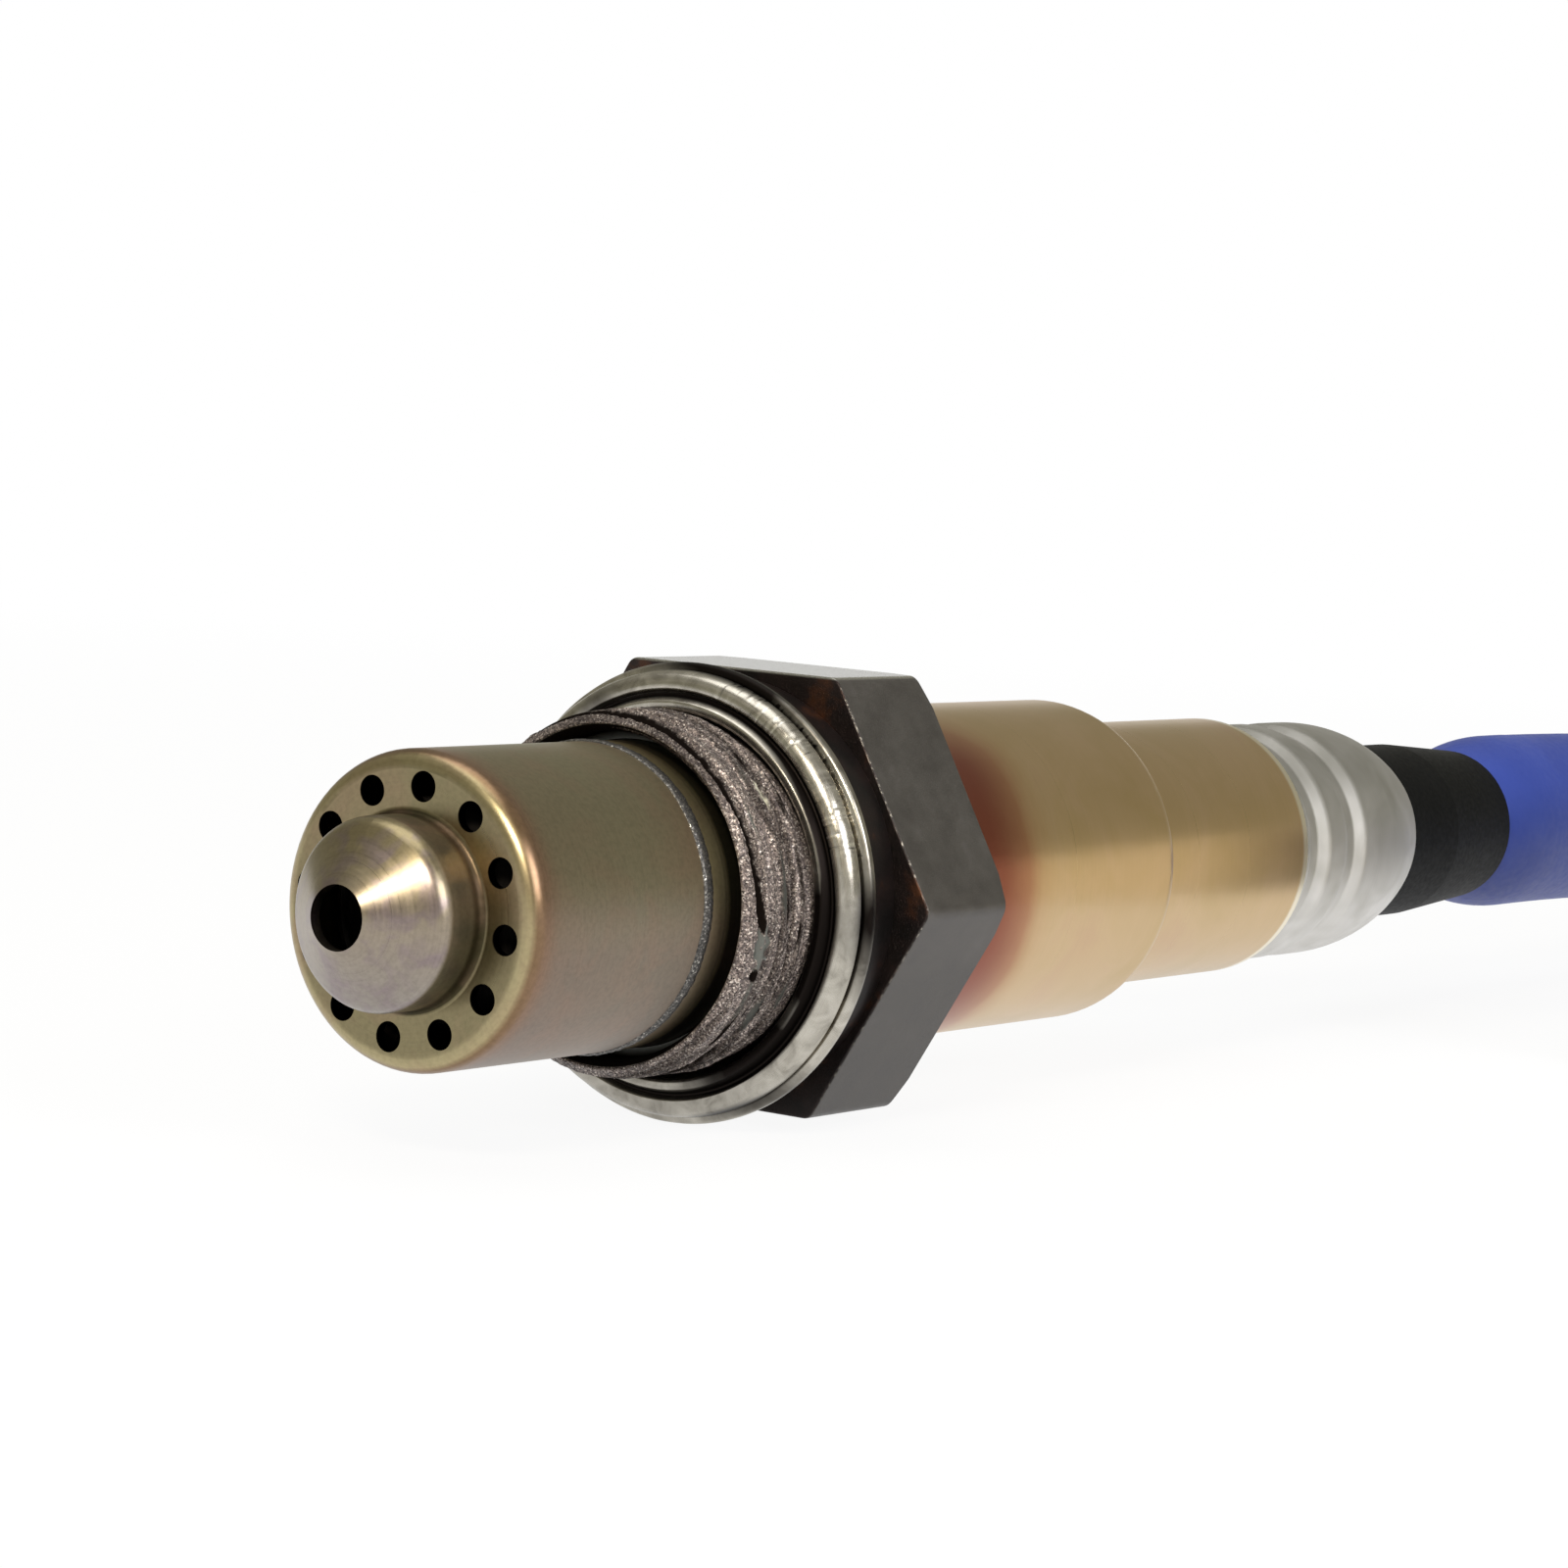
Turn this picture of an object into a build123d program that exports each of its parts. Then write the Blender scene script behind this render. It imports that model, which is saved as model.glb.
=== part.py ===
from build123d import *
import math
import os

os.makedirs("parts", exist_ok=True)

# An automotive oxygen sensor with a flat ceramic element and a lead of five wires.
# It lies along X with its tip towards -X and the hexagon's flats above and below.
# The origin is on the sensor's axis, where the thread ends and the gasket begins.
# All lengths are in millimetres and all angles in degrees.

# Threaded body
thread_diameter = 18.0
thread_pitch = 1.5
thread_length = 5.0
lead_chamfer = 0.6
undercut_share = 0.6
hex_across_flats = 22.0
hex_length = 7.5
hex_corner_round = 0.7
hex_trim_radius = 11.8
hex_trim_slope = 30.0
seat_collar_radius = 10.6
seat_collar_length = 2.6
sleeve_spigot_length = 4.0
nose_bore_gap = 0.4
nose_bore_depth = 2.2
tube_seat_depth = 2.0
packing_bore_radius = 5.6
packing_lip_radius = 4.6
packing_lip_length = 1.4

# Folded gasket
gasket_height = 2.2
gasket_outer_radius = 11.5
gasket_sheet = 0.35
gasket_bore_gap = 0.3
bead_inner_radius = 9.15
bead_outer_radius = 9.85
bead_bend = 0.17
crease_depth = 0.75
band_crown_radius = 10.5
band_crown_depth = 0.55
band_outer_radius = 11.13
band_outer_depth = 1.2
band_curl_length = 0.35
gasket_bend = 0.3

# Outer protection tube with its stepped nozzle
tube_radius = 7.53
tube_wall = 0.5
tube_reach = 19.8
neck_radius = 4.55
neck_length = 2.6
cone_length = 2.3
mouth_radius = 1.53
rim_bend = 0.85
neck_bend = 0.6
shoulder_bend = 0.65
hole_count = 12
hole_diameter = 1.45
hole_circle_radius = 5.9
hole_start_angle = 6.0

# Inner protection tube
inner_tube_radius = 5.3
inner_tube_wall = 0.4
inner_face_gap = 0.7
inner_nose_radius = 3.6
inner_nose_length = 1.6
inner_nose_hole_radius = 0.9
inner_tube_bend = 0.5
gas_hole_pairs = 4
gas_hole_radius = 0.6
gas_hole_setback = 4.2
flange_radial_gap = 0.06

# Ceramic element and its packing
element_width = 4.2
element_thickness = 1.8
element_chamfer = 0.3
element_tip_gap = 1.8
element_insert_length = 8.5
front_bush_length = 4.6
talc_length = 4.4
rear_bush_length = 8.4
rear_bush_step_length = 3.8
rear_bush_nose_radius = 4.4
clamp_ring_length = 1.4
crimp_lip_radius = 4.9
crimp_lip_length = 0.8

# Stepped protective sleeve
sleeve_radius = 8.8
sleeve_wall = 0.4
sleeve_wide_length = 23.3
sleeve_narrow_radius = 7.4
sleeve_narrow_length = 16.9
sleeve_shoulder_length = 0.5
sleeve_shoulder_bend = 1.0
sleeve_root_bend = 0.4
sleeve_rim_round = 0.14

# Crimp sleeve over the grommet
crimp_wall = 0.4
crimp_insert_length = 6.0
crimp_reach = 16.9
crimp_groove_setback = 2.2
crimp_groove_pitch = 4.4
crimp_groove_width = 2.6
crimp_groove_depth = 0.42
crimp_groove_bend = 0.7
crimp_flank_share = 1 / 3
crimp_tail_length = 7.0
crimp_lip_outer_radius = 5.45

# Contact holder, spring band, contacts and wires
holder_radius = 6.3
holder_setback = 9.0
holder_length = 11.5
holder_split = 0.1
holder_channel_width = 5.2
holder_channel_height = 2.7
band_sheet = 0.2
band_setback = 2.5
band_length = 6.0
band_flat_share = 0.25
band_slit = 1.5
contact_sheet = 0.25
contact_width = 0.9
contact_front_gap = 1.2
contact_press_length = 3.0
contact_rise_length = 3.5
barrel_radius = 0.65
barrel_length = 3.0
barrel_height = 1.95
upper_contact_pitch = 1.6
lower_contact_pitch = 2.0
wire_radius = 0.7
wire_bend = 1.5
wire_straight_length = 1.2
wire_spread_length = 3.6

# Rubber grommet
grommet_front_gap = 0.4
grommet_radius = 5.3
grommet_core_gap = 0.06
grommet_lip_gap = 0.05
grommet_bulge_length = 0.4
grommet_tail_length = 14.2
grommet_straight_length = 6.0
grommet_tail_radius = 4.7
grommet_neck_radius = 4.2
grommet_neck_length = 8.4
wire_circle_radius = 3.0
wire_start_angle = 18.0
wire_hole_gap = 0.05

# Protective hose
hose_diameter = 11.0
hose_cuff_radius = 4.5
hose_cuff_length = 6.0
hose_lift = 0.02

# Plug on the end of the lead
plug_width = 24.0
plug_height = 18.0
plug_shell_length = 30.0
plug_wall = 1.8
plug_corner_round = 2.0
plug_mouth_depth = 18.0
plug_web = 3.0
plug_mouth_round = 1.2
latch_width = 7.0
latch_height = 1.6
latch_length = 4.5
latch_setback = 7.0
rail_width = 1.4
rail_height = 1.2
rail_spacing = 9.6
rail_length = 20.0
key_rib_width = 1.6
key_rib_height = 1.2
plug_cap_length = 12.0
cap_collar_length = 4.0
cap_step = 1.0
cap_tail_width = 15.0
cap_tail_height = 13.0
cap_tail_round = 4.0
cap_pocket_width = 14.0
cap_pocket_height = 8.4
cap_pocket_depth = 4.5
seal_length = 5.0
seal_groove_pitch = 1.9
seal_groove_width = 0.9
seal_groove_depth = 0.5
pin_columns = 3
pin_rows = 2
pin_pitch_x = 5.4
pin_pitch_z = 5.6
pin_width = 1.5
pin_thickness = 0.8
pin_reach = 9.0
pin_point_length = 0.9
pin_point_share = 0.45
resistor_radius = 1.2
resistor_length = 4.0
resistor_lead_radius = 0.3
slide_width = 7.6
slide_length = 6.0
slide_thickness = 1.3
slide_rib_height = 0.7
slide_rib_width = 1.2

# Fits that all pieces share
slip_fit = 0.05
overrun = 1.0

# Stations along the axis
hex_front_x = gasket_height + seat_collar_length
hex_rear_x = hex_front_x + hex_length
face_x = -tube_reach
rim_x = face_x - neck_length
mouth_x = rim_x - cone_length
thread_front_x = -thread_length
tube_seat_x = thread_front_x + nose_bore_depth
tube_end_x = tube_seat_x + tube_seat_depth
packing_x = tube_end_x + packing_lip_length
talc_x = packing_x + front_bush_length
rear_bush_x = talc_x + talc_length
clamp_x = rear_bush_x + rear_bush_step_length
lip_x = clamp_x + clamp_ring_length
body_rear_x = hex_rear_x + sleeve_spigot_length
sleeve_step_x = hex_rear_x + sleeve_wide_length
sleeve_end_x = sleeve_step_x + sleeve_narrow_length
crimp_start_x = sleeve_end_x - crimp_insert_length
crimp_end_x = sleeve_end_x + crimp_reach
crimp_tail_x = crimp_end_x - crimp_tail_length
holder_front_x = crimp_start_x - holder_setback
holder_end_x = holder_front_x + holder_length
element_rear_x = holder_front_x + element_insert_length
barrel_end_x = holder_end_x + barrel_length
grommet_start_x = barrel_end_x + wire_straight_length + wire_spread_length + grommet_front_gap
grommet_end_x = crimp_end_x + grommet_tail_length
neck_end_x = grommet_end_x + grommet_neck_length

# Radii and heights worked out from the driving sizes
thread_radius = thread_diameter / 2
undercut_radius = thread_radius - undercut_share * thread_pitch
nose_bore_radius = tube_radius + nose_bore_gap
tube_seat_radius = tube_radius + slip_fit
spigot_radius = sleeve_radius - sleeve_wall - slip_fit
crimp_radius = sleeve_narrow_radius - sleeve_wall - slip_fit
crimp_mid_radius = crimp_radius - crimp_wall / 2
bush_radius = packing_bore_radius - slip_fit
hose_radius = hose_diameter / 2
floor_z = -gasket_outer_radius


# Outer protection tube: one drawn sheet with a stepped nozzle and a ring of gas holes
half_tube_wall = tube_wall / 2
cone_angle = math.atan2(neck_radius - mouth_radius, cone_length)
neck_mid_radius = neck_radius - half_tube_wall
rim_mid_x = rim_x + half_tube_wall * math.tan(cone_angle / 2)
blank_radius = mouth_radius / 2
blank_x = rim_mid_x - (neck_mid_radius - blank_radius) / math.tan(cone_angle)
with BuildPart() as outer_protection_tube:
    with BuildSketch(Plane.XZ):
        with BuildLine():
            FilletPolyline(
                (blank_x, blank_radius),
                (rim_mid_x, neck_mid_radius),
                (face_x + half_tube_wall, neck_mid_radius),
                (face_x + half_tube_wall, tube_radius - half_tube_wall),
                (tube_end_x, tube_radius - half_tube_wall),
                radius=(rim_bend, neck_bend, shoulder_bend),
            )
        trace(line_width=tube_wall)
    revolve(axis=Axis.X)
    with BuildSketch(Plane.YZ.offset(blank_x - overrun)):
        Circle(mouth_radius)
    extrude(amount=rim_x - blank_x, mode=Mode.SUBTRACT)
    with BuildSketch(Plane.YZ.offset(face_x - overrun)):
        with PolarLocations(hole_circle_radius, hole_count, start_angle=hole_start_angle):
            Circle(hole_diameter / 2)
    extrude(amount=tube_wall + 2 * overrun, mode=Mode.SUBTRACT)
outer_protection_tube.part.label = "outer_protection_tube"
export_step(outer_protection_tube.part, "parts/outer_protection_tube.step")


# Inner protection tube: its nose reaches into the nozzle, its flange shares the body's seat
half_inner_wall = inner_tube_wall / 2
inner_face_x = face_x + tube_wall + inner_face_gap
inner_nose_x = inner_face_x - inner_nose_length
flange_radius = tube_radius - tube_wall - flange_radial_gap
with BuildPart() as inner_protection_tube:
    with BuildSketch(Plane.XZ):
        with BuildLine():
            FilletPolyline(
                (inner_nose_x + half_inner_wall, inner_nose_hole_radius),
                (inner_nose_x + half_inner_wall, inner_nose_radius - half_inner_wall),
                (inner_face_x + half_inner_wall, inner_nose_radius - half_inner_wall),
                (inner_face_x + half_inner_wall, inner_tube_radius - half_inner_wall),
                (tube_end_x - half_inner_wall, inner_tube_radius - half_inner_wall),
                (tube_end_x - half_inner_wall, flange_radius),
                radius=inner_tube_bend,
            )
        trace(line_width=inner_tube_wall)
    revolve(axis=Axis.X)
    for turn in range(gas_hole_pairs):
        with BuildSketch(Plane.XY.rotated((180 * turn / gas_hole_pairs, 0, 0))):
            with Locations((tube_end_x - gas_hole_setback, 0)):
                Circle(gas_hole_radius)
        extrude(amount=inner_tube_radius + overrun, both=True, mode=Mode.SUBTRACT)
inner_protection_tube.part.label = "inner_protection_tube"
export_step(inner_protection_tube.part, "parts/inner_protection_tube.step")


# Sensor body: threaded shank, gasket seat, hexagon and rear spigot turned from hexagon bar
hex_corner_radius = hex_across_flats / 2 / math.cos(math.radians(30))
hex_trim_length = (hex_corner_radius - hex_trim_radius) * math.tan(math.radians(hex_trim_slope))
undercut_step = (thread_radius - undercut_radius) / 2
with BuildPart() as sensor_body:
    with BuildSketch(Plane.YZ.offset(hex_front_x)):
        RegularPolygon(hex_across_flats / 2, 6, major_radius=False)
    extrude(amount=hex_length)
    fillet(sensor_body.edges().filter_by(Axis.X), hex_corner_round)
    with BuildSketch(Plane.XZ):
        with BuildLine():
            Polyline(
                (hex_rear_x - hex_trim_length, hex_corner_radius),
                (hex_rear_x, hex_trim_radius),
                (hex_rear_x, hex_corner_radius),
                close=True,
            )
        make_face()
    revolve(axis=Axis.X, mode=Mode.SUBTRACT)
    with BuildSketch(Plane.XZ):
        with BuildLine():
            Polyline(
                (thread_front_x, 0),
                (thread_front_x, thread_radius - lead_chamfer),
                (thread_front_x + lead_chamfer, thread_radius),
                (0, thread_radius),
                (0, thread_radius - undercut_step),
                (undercut_step, undercut_radius),
                (gasket_height, undercut_radius),
                (gasket_height, seat_collar_radius),
                (hex_front_x + overrun, seat_collar_radius),
                (hex_front_x + overrun, spigot_radius),
                (body_rear_x, spigot_radius),
                (body_rear_x, 0),
                close=True,
            )
        make_face()
    revolve(axis=Axis.X)
    with BuildSketch(Plane.XZ):
        with BuildLine():
            Polyline(
                (thread_front_x - overrun, 0),
                (thread_front_x - overrun, nose_bore_radius),
                (tube_seat_x, nose_bore_radius),
                (tube_seat_x, tube_seat_radius),
                (tube_end_x, tube_seat_radius),
                (tube_end_x, packing_lip_radius),
                (packing_x, packing_lip_radius),
                (packing_x, packing_bore_radius),
                (lip_x, packing_bore_radius),
                (lip_x, crimp_lip_radius),
                (lip_x + crimp_lip_length, crimp_lip_radius),
                (lip_x + crimp_lip_length, packing_bore_radius),
                (body_rear_x + overrun, packing_bore_radius),
                (body_rear_x + overrun, 0),
                close=True,
            )
        make_face()
    revolve(axis=Axis.X, mode=Mode.SUBTRACT)
sensor_body.part.label = "sensor_body"
export_step(sensor_body.part, "parts/sensor_body.step")


# Gasket: one folded sheet with a rear disc, a front bead and a crowned, curled band
half_sheet = gasket_sheet / 2
gasket_bore_radius = undercut_radius + gasket_bore_gap
crease_radius = bead_outer_radius + half_sheet
with BuildPart() as gasket_ring:
    with BuildSketch(Plane.XZ):
        with BuildLine():
            FilletPolyline(
                (gasket_height - half_sheet, gasket_outer_radius),
                (gasket_height - half_sheet, gasket_bore_radius + half_sheet),
                (half_sheet, bead_inner_radius + half_sheet),
                (half_sheet, bead_outer_radius - half_sheet),
                (crease_depth + half_sheet, crease_radius),
                radius=(gasket_bend, bead_bend, bead_bend),
            )
            band = ThreePointArc(
                (crease_depth + half_sheet, crease_radius),
                (band_crown_depth + half_sheet, band_crown_radius),
                (band_outer_depth + half_sheet / 2, band_outer_radius - half_sheet),
            )
            Line(band @ 1, (band @ 1) + (band_curl_length, -half_sheet / 2))
        trace(line_width=gasket_sheet)
        with Locations((crease_depth + half_sheet, crease_radius), (band @ 1)):
            Circle(half_sheet)
    revolve(axis=Axis.X)
gasket_ring.part.label = "gasket_ring"
export_step(gasket_ring.part, "parts/gasket_ring.step")


# Sensing element: a flat ceramic bar from inside the inner tube back to the contacts
element_tip_x = inner_face_x + inner_tube_wall + element_tip_gap
element_length = element_rear_x - element_tip_x
with BuildPart() as sensing_element:
    with BuildSketch(Plane.YZ.offset(element_tip_x)):
        Rectangle(element_width, element_thickness)
    extrude(amount=element_length)
    chamfer(sensing_element.edges().group_by(Axis.X)[0], element_chamfer)
sensing_element.part.label = "sensing_element"
export_step(sensing_element.part, "parts/sensing_element.step")


# Packing: two ceramic bushes with pressed talc between them, all slotted for the element
slot_width = element_width + 2 * slip_fit
slot_height = element_thickness + 2 * slip_fit
with BuildPart() as front_ceramic_bush:
    with BuildSketch(Plane.YZ.offset(packing_x)):
        Circle(bush_radius)
        Rectangle(slot_width, slot_height, mode=Mode.SUBTRACT)
    extrude(amount=front_bush_length)
front_ceramic_bush.part.label = "front_ceramic_bush"
export_step(front_ceramic_bush.part, "parts/front_ceramic_bush.step")

with BuildPart() as talc_seal:
    with BuildSketch(Plane.YZ.offset(talc_x)):
        Circle(bush_radius)
        Rectangle(slot_width, slot_height, mode=Mode.SUBTRACT)
    extrude(amount=talc_length)
talc_seal.part.label = "talc_seal"
export_step(talc_seal.part, "parts/talc_seal.step")

with BuildPart() as rear_ceramic_bush:
    with BuildSketch(Plane.YZ.offset(rear_bush_x)):
        Circle(bush_radius)
        Rectangle(slot_width, slot_height, mode=Mode.SUBTRACT)
    extrude(amount=rear_bush_step_length)
    with BuildSketch(Plane.YZ.offset(clamp_x)):
        Circle(rear_bush_nose_radius)
        Rectangle(slot_width, slot_height, mode=Mode.SUBTRACT)
    extrude(amount=rear_bush_length - rear_bush_step_length)
rear_ceramic_bush.part.label = "rear_ceramic_bush"
export_step(rear_ceramic_bush.part, "parts/rear_ceramic_bush.step")

with BuildPart() as clamp_ring:
    with BuildSketch(Plane.YZ.offset(clamp_x)):
        Circle(bush_radius)
        Circle(rear_bush_nose_radius + slip_fit, mode=Mode.SUBTRACT)
    extrude(amount=clamp_ring_length)
clamp_ring.part.label = "clamp_ring"
export_step(clamp_ring.part, "parts/clamp_ring.step")


# Protective sleeve: a drawn tube on the spigot that steps down to the crimp sleeve
half_sleeve_wall = sleeve_wall / 2
with BuildPart() as protective_sleeve:
    with BuildSketch(Plane.XZ):
        with BuildLine():
            FilletPolyline(
                (hex_rear_x, sleeve_radius - half_sleeve_wall),
                (sleeve_step_x - sleeve_shoulder_length, sleeve_radius - half_sleeve_wall),
                (sleeve_step_x, sleeve_narrow_radius - half_sleeve_wall),
                (sleeve_end_x, sleeve_narrow_radius - half_sleeve_wall),
                radius=(sleeve_shoulder_bend, sleeve_root_bend),
            )
        trace(line_width=sleeve_wall)
    revolve(axis=Axis.X)
    rim_edges = protective_sleeve.edges().filter_by(GeomType.CIRCLE).group_by(Axis.X)[-1]
    fillet(rim_edges, sleeve_rim_round)
protective_sleeve.part.label = "protective_sleeve"
export_step(protective_sleeve.part, "parts/protective_sleeve.step")


# Crimp sleeve: two rolled grooves grip the grommet and a rounded tail closes on it
groove_starts = [
    sleeve_end_x + crimp_groove_setback - crimp_groove_width / 2 + k * crimp_groove_pitch
    for k in range(2)
]
groove_radius = crimp_mid_radius - crimp_groove_depth
groove_flank = crimp_flank_share * crimp_groove_width
crimp_points = [(crimp_start_x, crimp_mid_radius)]
for start in groove_starts:
    crimp_points += [
        (start, crimp_mid_radius),
        (start + groove_flank, groove_radius),
        (start + crimp_groove_width - groove_flank, groove_radius),
        (start + crimp_groove_width, crimp_mid_radius),
    ]
crimp_points += [(crimp_tail_x, crimp_mid_radius)]
with BuildPart() as crimp_sleeve:
    with BuildSketch(Plane.XZ):
        with BuildLine():
            FilletPolyline(*crimp_points, radius=crimp_groove_bend)
            TangentArc(
                (crimp_tail_x, crimp_mid_radius),
                (crimp_end_x, crimp_lip_outer_radius - crimp_wall / 2),
                tangent=(1, 0),
            )
        trace(line_width=crimp_wall)
    revolve(axis=Axis.X)
crimp_sleeve.part.label = "crimp_sleeve"
export_step(crimp_sleeve.part, "parts/crimp_sleeve.step")


# Contact holder: two ceramic halves that close on the element's rear end
for side, side_name in ((1, "upper"), (-1, "lower")):
    with BuildPart() as holder_half:
        with BuildSketch(Plane.YZ.offset(holder_front_x)):
            Circle(holder_radius)
            Rectangle(holder_channel_width, 2 * holder_channel_height, mode=Mode.SUBTRACT)
            with Locations((0, -side * (holder_radius - holder_split / 2))):
                Rectangle(2 * holder_radius, 2 * holder_radius, mode=Mode.SUBTRACT)
        extrude(amount=holder_length)
    holder_half.part.label = "contact_holder_" + side_name
    export_step(holder_half.part, "parts/contact_holder_" + side_name + ".step")


# Holder spring: a slit, crowned band that clamps the halves and bears on the sleeve
band_x = holder_front_x + band_setback
band_low_radius = holder_radius + slip_fit + band_sheet / 2
band_high_radius = sleeve_narrow_radius - sleeve_wall - slip_fit - band_sheet / 2
with BuildPart() as holder_spring:
    with BuildSketch(Plane.XZ):
        with BuildLine():
            rise_start = (band_x + band_flat_share * band_length, band_low_radius)
            rise_end = (band_x + (1 - band_flat_share) * band_length, band_low_radius)
            Line((band_x, band_low_radius), rise_start)
            ThreePointArc(rise_start, (band_x + band_length / 2, band_high_radius), rise_end)
            Line(rise_end, (band_x + band_length, band_low_radius))
        trace(line_width=band_sheet)
    revolve(axis=Axis.X)
    with BuildSketch(Plane.YZ.offset(band_x - overrun)):
        with Locations((0, -holder_radius)):
            Rectangle(band_slit, holder_radius)
    extrude(amount=band_length + 2 * overrun, mode=Mode.SUBTRACT)
holder_spring.part.label = "holder_spring"
export_step(holder_spring.part, "parts/holder_spring.step")


# Contacts: spring strips that press on the element's pads and end in crimp barrels.
# Each place holds a contact's y, its side of the element and the grommet bore its wire takes.
contact_places = [
    (upper_contact_pitch, 1, 0),
    (0, 1, 1),
    (-upper_contact_pitch, 1, 2),
    (lower_contact_pitch / 2, -1, 4),
    (-lower_contact_pitch / 2, -1, 3),
]
press_z = element_thickness / 2 + slip_fit + contact_sheet / 2
roof_z = holder_channel_height - slip_fit - contact_sheet / 2
press_x = holder_front_x + contact_front_gap
for number, (contact_y, side, _) in enumerate(contact_places, start=1):
    with BuildPart() as contact:
        with BuildSketch(Plane.XZ.offset(-contact_y)):
            with BuildLine():
                FilletPolyline(
                    (press_x, side * roof_z),
                    (press_x + contact_rise_length / 2, side * press_z),
                    (press_x + contact_rise_length / 2 + contact_press_length, side * press_z),
                    (holder_end_x - contact_front_gap, side * barrel_height),
                    (holder_end_x + overrun, side * barrel_height),
                    radius=contact_sheet,
                )
            trace(line_width=contact_sheet)
        extrude(amount=contact_width / 2, both=True)
        with BuildSketch(Plane.YZ.offset(holder_end_x)):
            with Locations((contact_y, side * barrel_height)):
                Circle(barrel_radius)
        extrude(amount=barrel_length)
    contact.part.label = "contact_" + str(number)
    export_step(contact.part, "parts/contact_" + str(number) + ".step")


# Wires: from each barrel out to a bore of the grommet and back to the hose
for number, (contact_y, side, bore_number) in enumerate(contact_places, start=1):
    bore_angle = math.radians(wire_start_angle + bore_number * 360 / len(contact_places))
    bore_y = wire_circle_radius * math.cos(bore_angle)
    bore_z = wire_circle_radius * math.sin(bore_angle)
    spread_x = barrel_end_x + wire_straight_length
    with BuildPart() as wire:
        with BuildLine() as wire_path:
            FilletPolyline(
                (barrel_end_x, contact_y, side * barrel_height),
                (spread_x, contact_y, side * barrel_height),
                (spread_x + wire_spread_length, bore_y, bore_z),
                (neck_end_x, bore_y, bore_z),
                radius=wire_bend,
            )
        with BuildSketch(Plane(wire_path.line @ 0, z_dir=wire_path.line % 0)):
            Circle(wire_radius)
        sweep()
    wire.part.label = "wire_" + str(number)
    export_step(wire.part, "parts/wire_" + str(number) + ".step")


# Grommet: a moulded rubber boot with five bores, gripped by the crimp sleeve
crimp_bore_radius = crimp_radius - crimp_groove_depth - crimp_wall
grommet_core_radius = crimp_bore_radius - grommet_core_gap
grommet_waist_radius = crimp_lip_outer_radius - crimp_wall - grommet_lip_gap
with BuildPart() as cable_grommet:
    with BuildSketch(Plane.XZ):
        with BuildLine():
            Polyline(
                (grommet_start_x, 0),
                (grommet_start_x, grommet_core_radius),
                (crimp_tail_x, grommet_core_radius),
                (crimp_end_x - crimp_wall, grommet_waist_radius),
                (crimp_end_x, grommet_waist_radius),
                (crimp_end_x + grommet_bulge_length, grommet_radius),
                (crimp_end_x + grommet_straight_length, grommet_radius),
                (grommet_end_x, grommet_tail_radius),
                (grommet_end_x, grommet_neck_radius),
                (neck_end_x, grommet_neck_radius),
                (neck_end_x, 0),
                close=True,
            )
        make_face()
    revolve(axis=Axis.X)
    with BuildSketch(Plane.YZ.offset(grommet_start_x - overrun)):
        with PolarLocations(wire_circle_radius, len(contact_places), start_angle=wire_start_angle):
            Circle(wire_radius + wire_hole_gap)
    extrude(amount=neck_end_x - grommet_start_x + 2 * overrun, mode=Mode.SUBTRACT)
cable_grommet.part.label = "cable_grommet"
export_step(cable_grommet.part, "parts/cable_grommet.step")


# Hose: a rounded cuff over the grommet's neck, then one loose loop down to the plug
plug_z = floor_z + plug_height / 2
lie_z = floor_z + hose_radius + hose_lift
hose_route = [
    (neck_end_x, 0, 0),
    (neck_end_x + 21.5, 0, 0),
    (neck_end_x + 46, -2.6, -4.3),
    (neck_end_x + 71.5, -9.5, lie_z),
    (neck_end_x + 94.5, -27, lie_z),
    (neck_end_x + 108, -56.5, lie_z),
    (neck_end_x + 108, -90, lie_z),
    (neck_end_x + 94, -118, lie_z),
    (neck_end_x + 67.5, -136, lie_z),
    (neck_end_x + 34, -137, lie_z),
    (neck_end_x + 4, -121, lie_z),
    (neck_end_x - 13, -94, plug_z),
    (neck_end_x - 13, -62, plug_z),
]


def route_radii(points, share):
    """The arc radius at each corner: a share of the shorter run over the tangent of half the turn."""
    radii = []
    for before, corner, after in zip(points, points[1:], points[2:]):
        run_in = Vector(*corner) - Vector(*before)
        run_out = Vector(*after) - Vector(*corner)
        half_turn = math.radians(run_in.get_angle(run_out)) / 2
        radii.append(share * min(run_in.length, run_out.length) / math.tan(half_turn))
    return radii


arc_share = 0.45
hose_radii = route_radii(hose_route, arc_share)
with BuildPart() as hose:
    with BuildLine() as hose_path:
        FilletPolyline(*hose_route, radius=hose_radii)
    with BuildSketch(Plane(hose_path.line @ 0, z_dir=hose_path.line % 0)):
        Circle(hose_radius)
    sweep()
    swept_volume = hose.part.volume
    hose_length = hose_path.wire().length
    with BuildSketch(Plane.XZ):
        with BuildLine():
            cuff_front = (grommet_end_x, hose_cuff_radius)
            cuff_top = (grommet_end_x + hose_cuff_length, hose_radius)
            lip = TangentArc(cuff_top, cuff_front, tangent=(-1, 0))
            Polyline(
                cuff_front,
                (grommet_end_x, grommet_neck_radius + slip_fit),
                (neck_end_x, grommet_neck_radius + slip_fit),
                (neck_end_x, hose_radius),
                cuff_top,
            )
        make_face()
    revolve(axis=Axis.X)
hose.part.label = "hose"
export_step(hose.part, "parts/hose.step")
print("hose radii", [round(radius) for radius in hose_radii])
print("hose length", round(hose_length, 1))
print("hose volume over section times length",
      round(swept_volume / (math.pi * hose_radius**2 * hose_length), 4))


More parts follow.
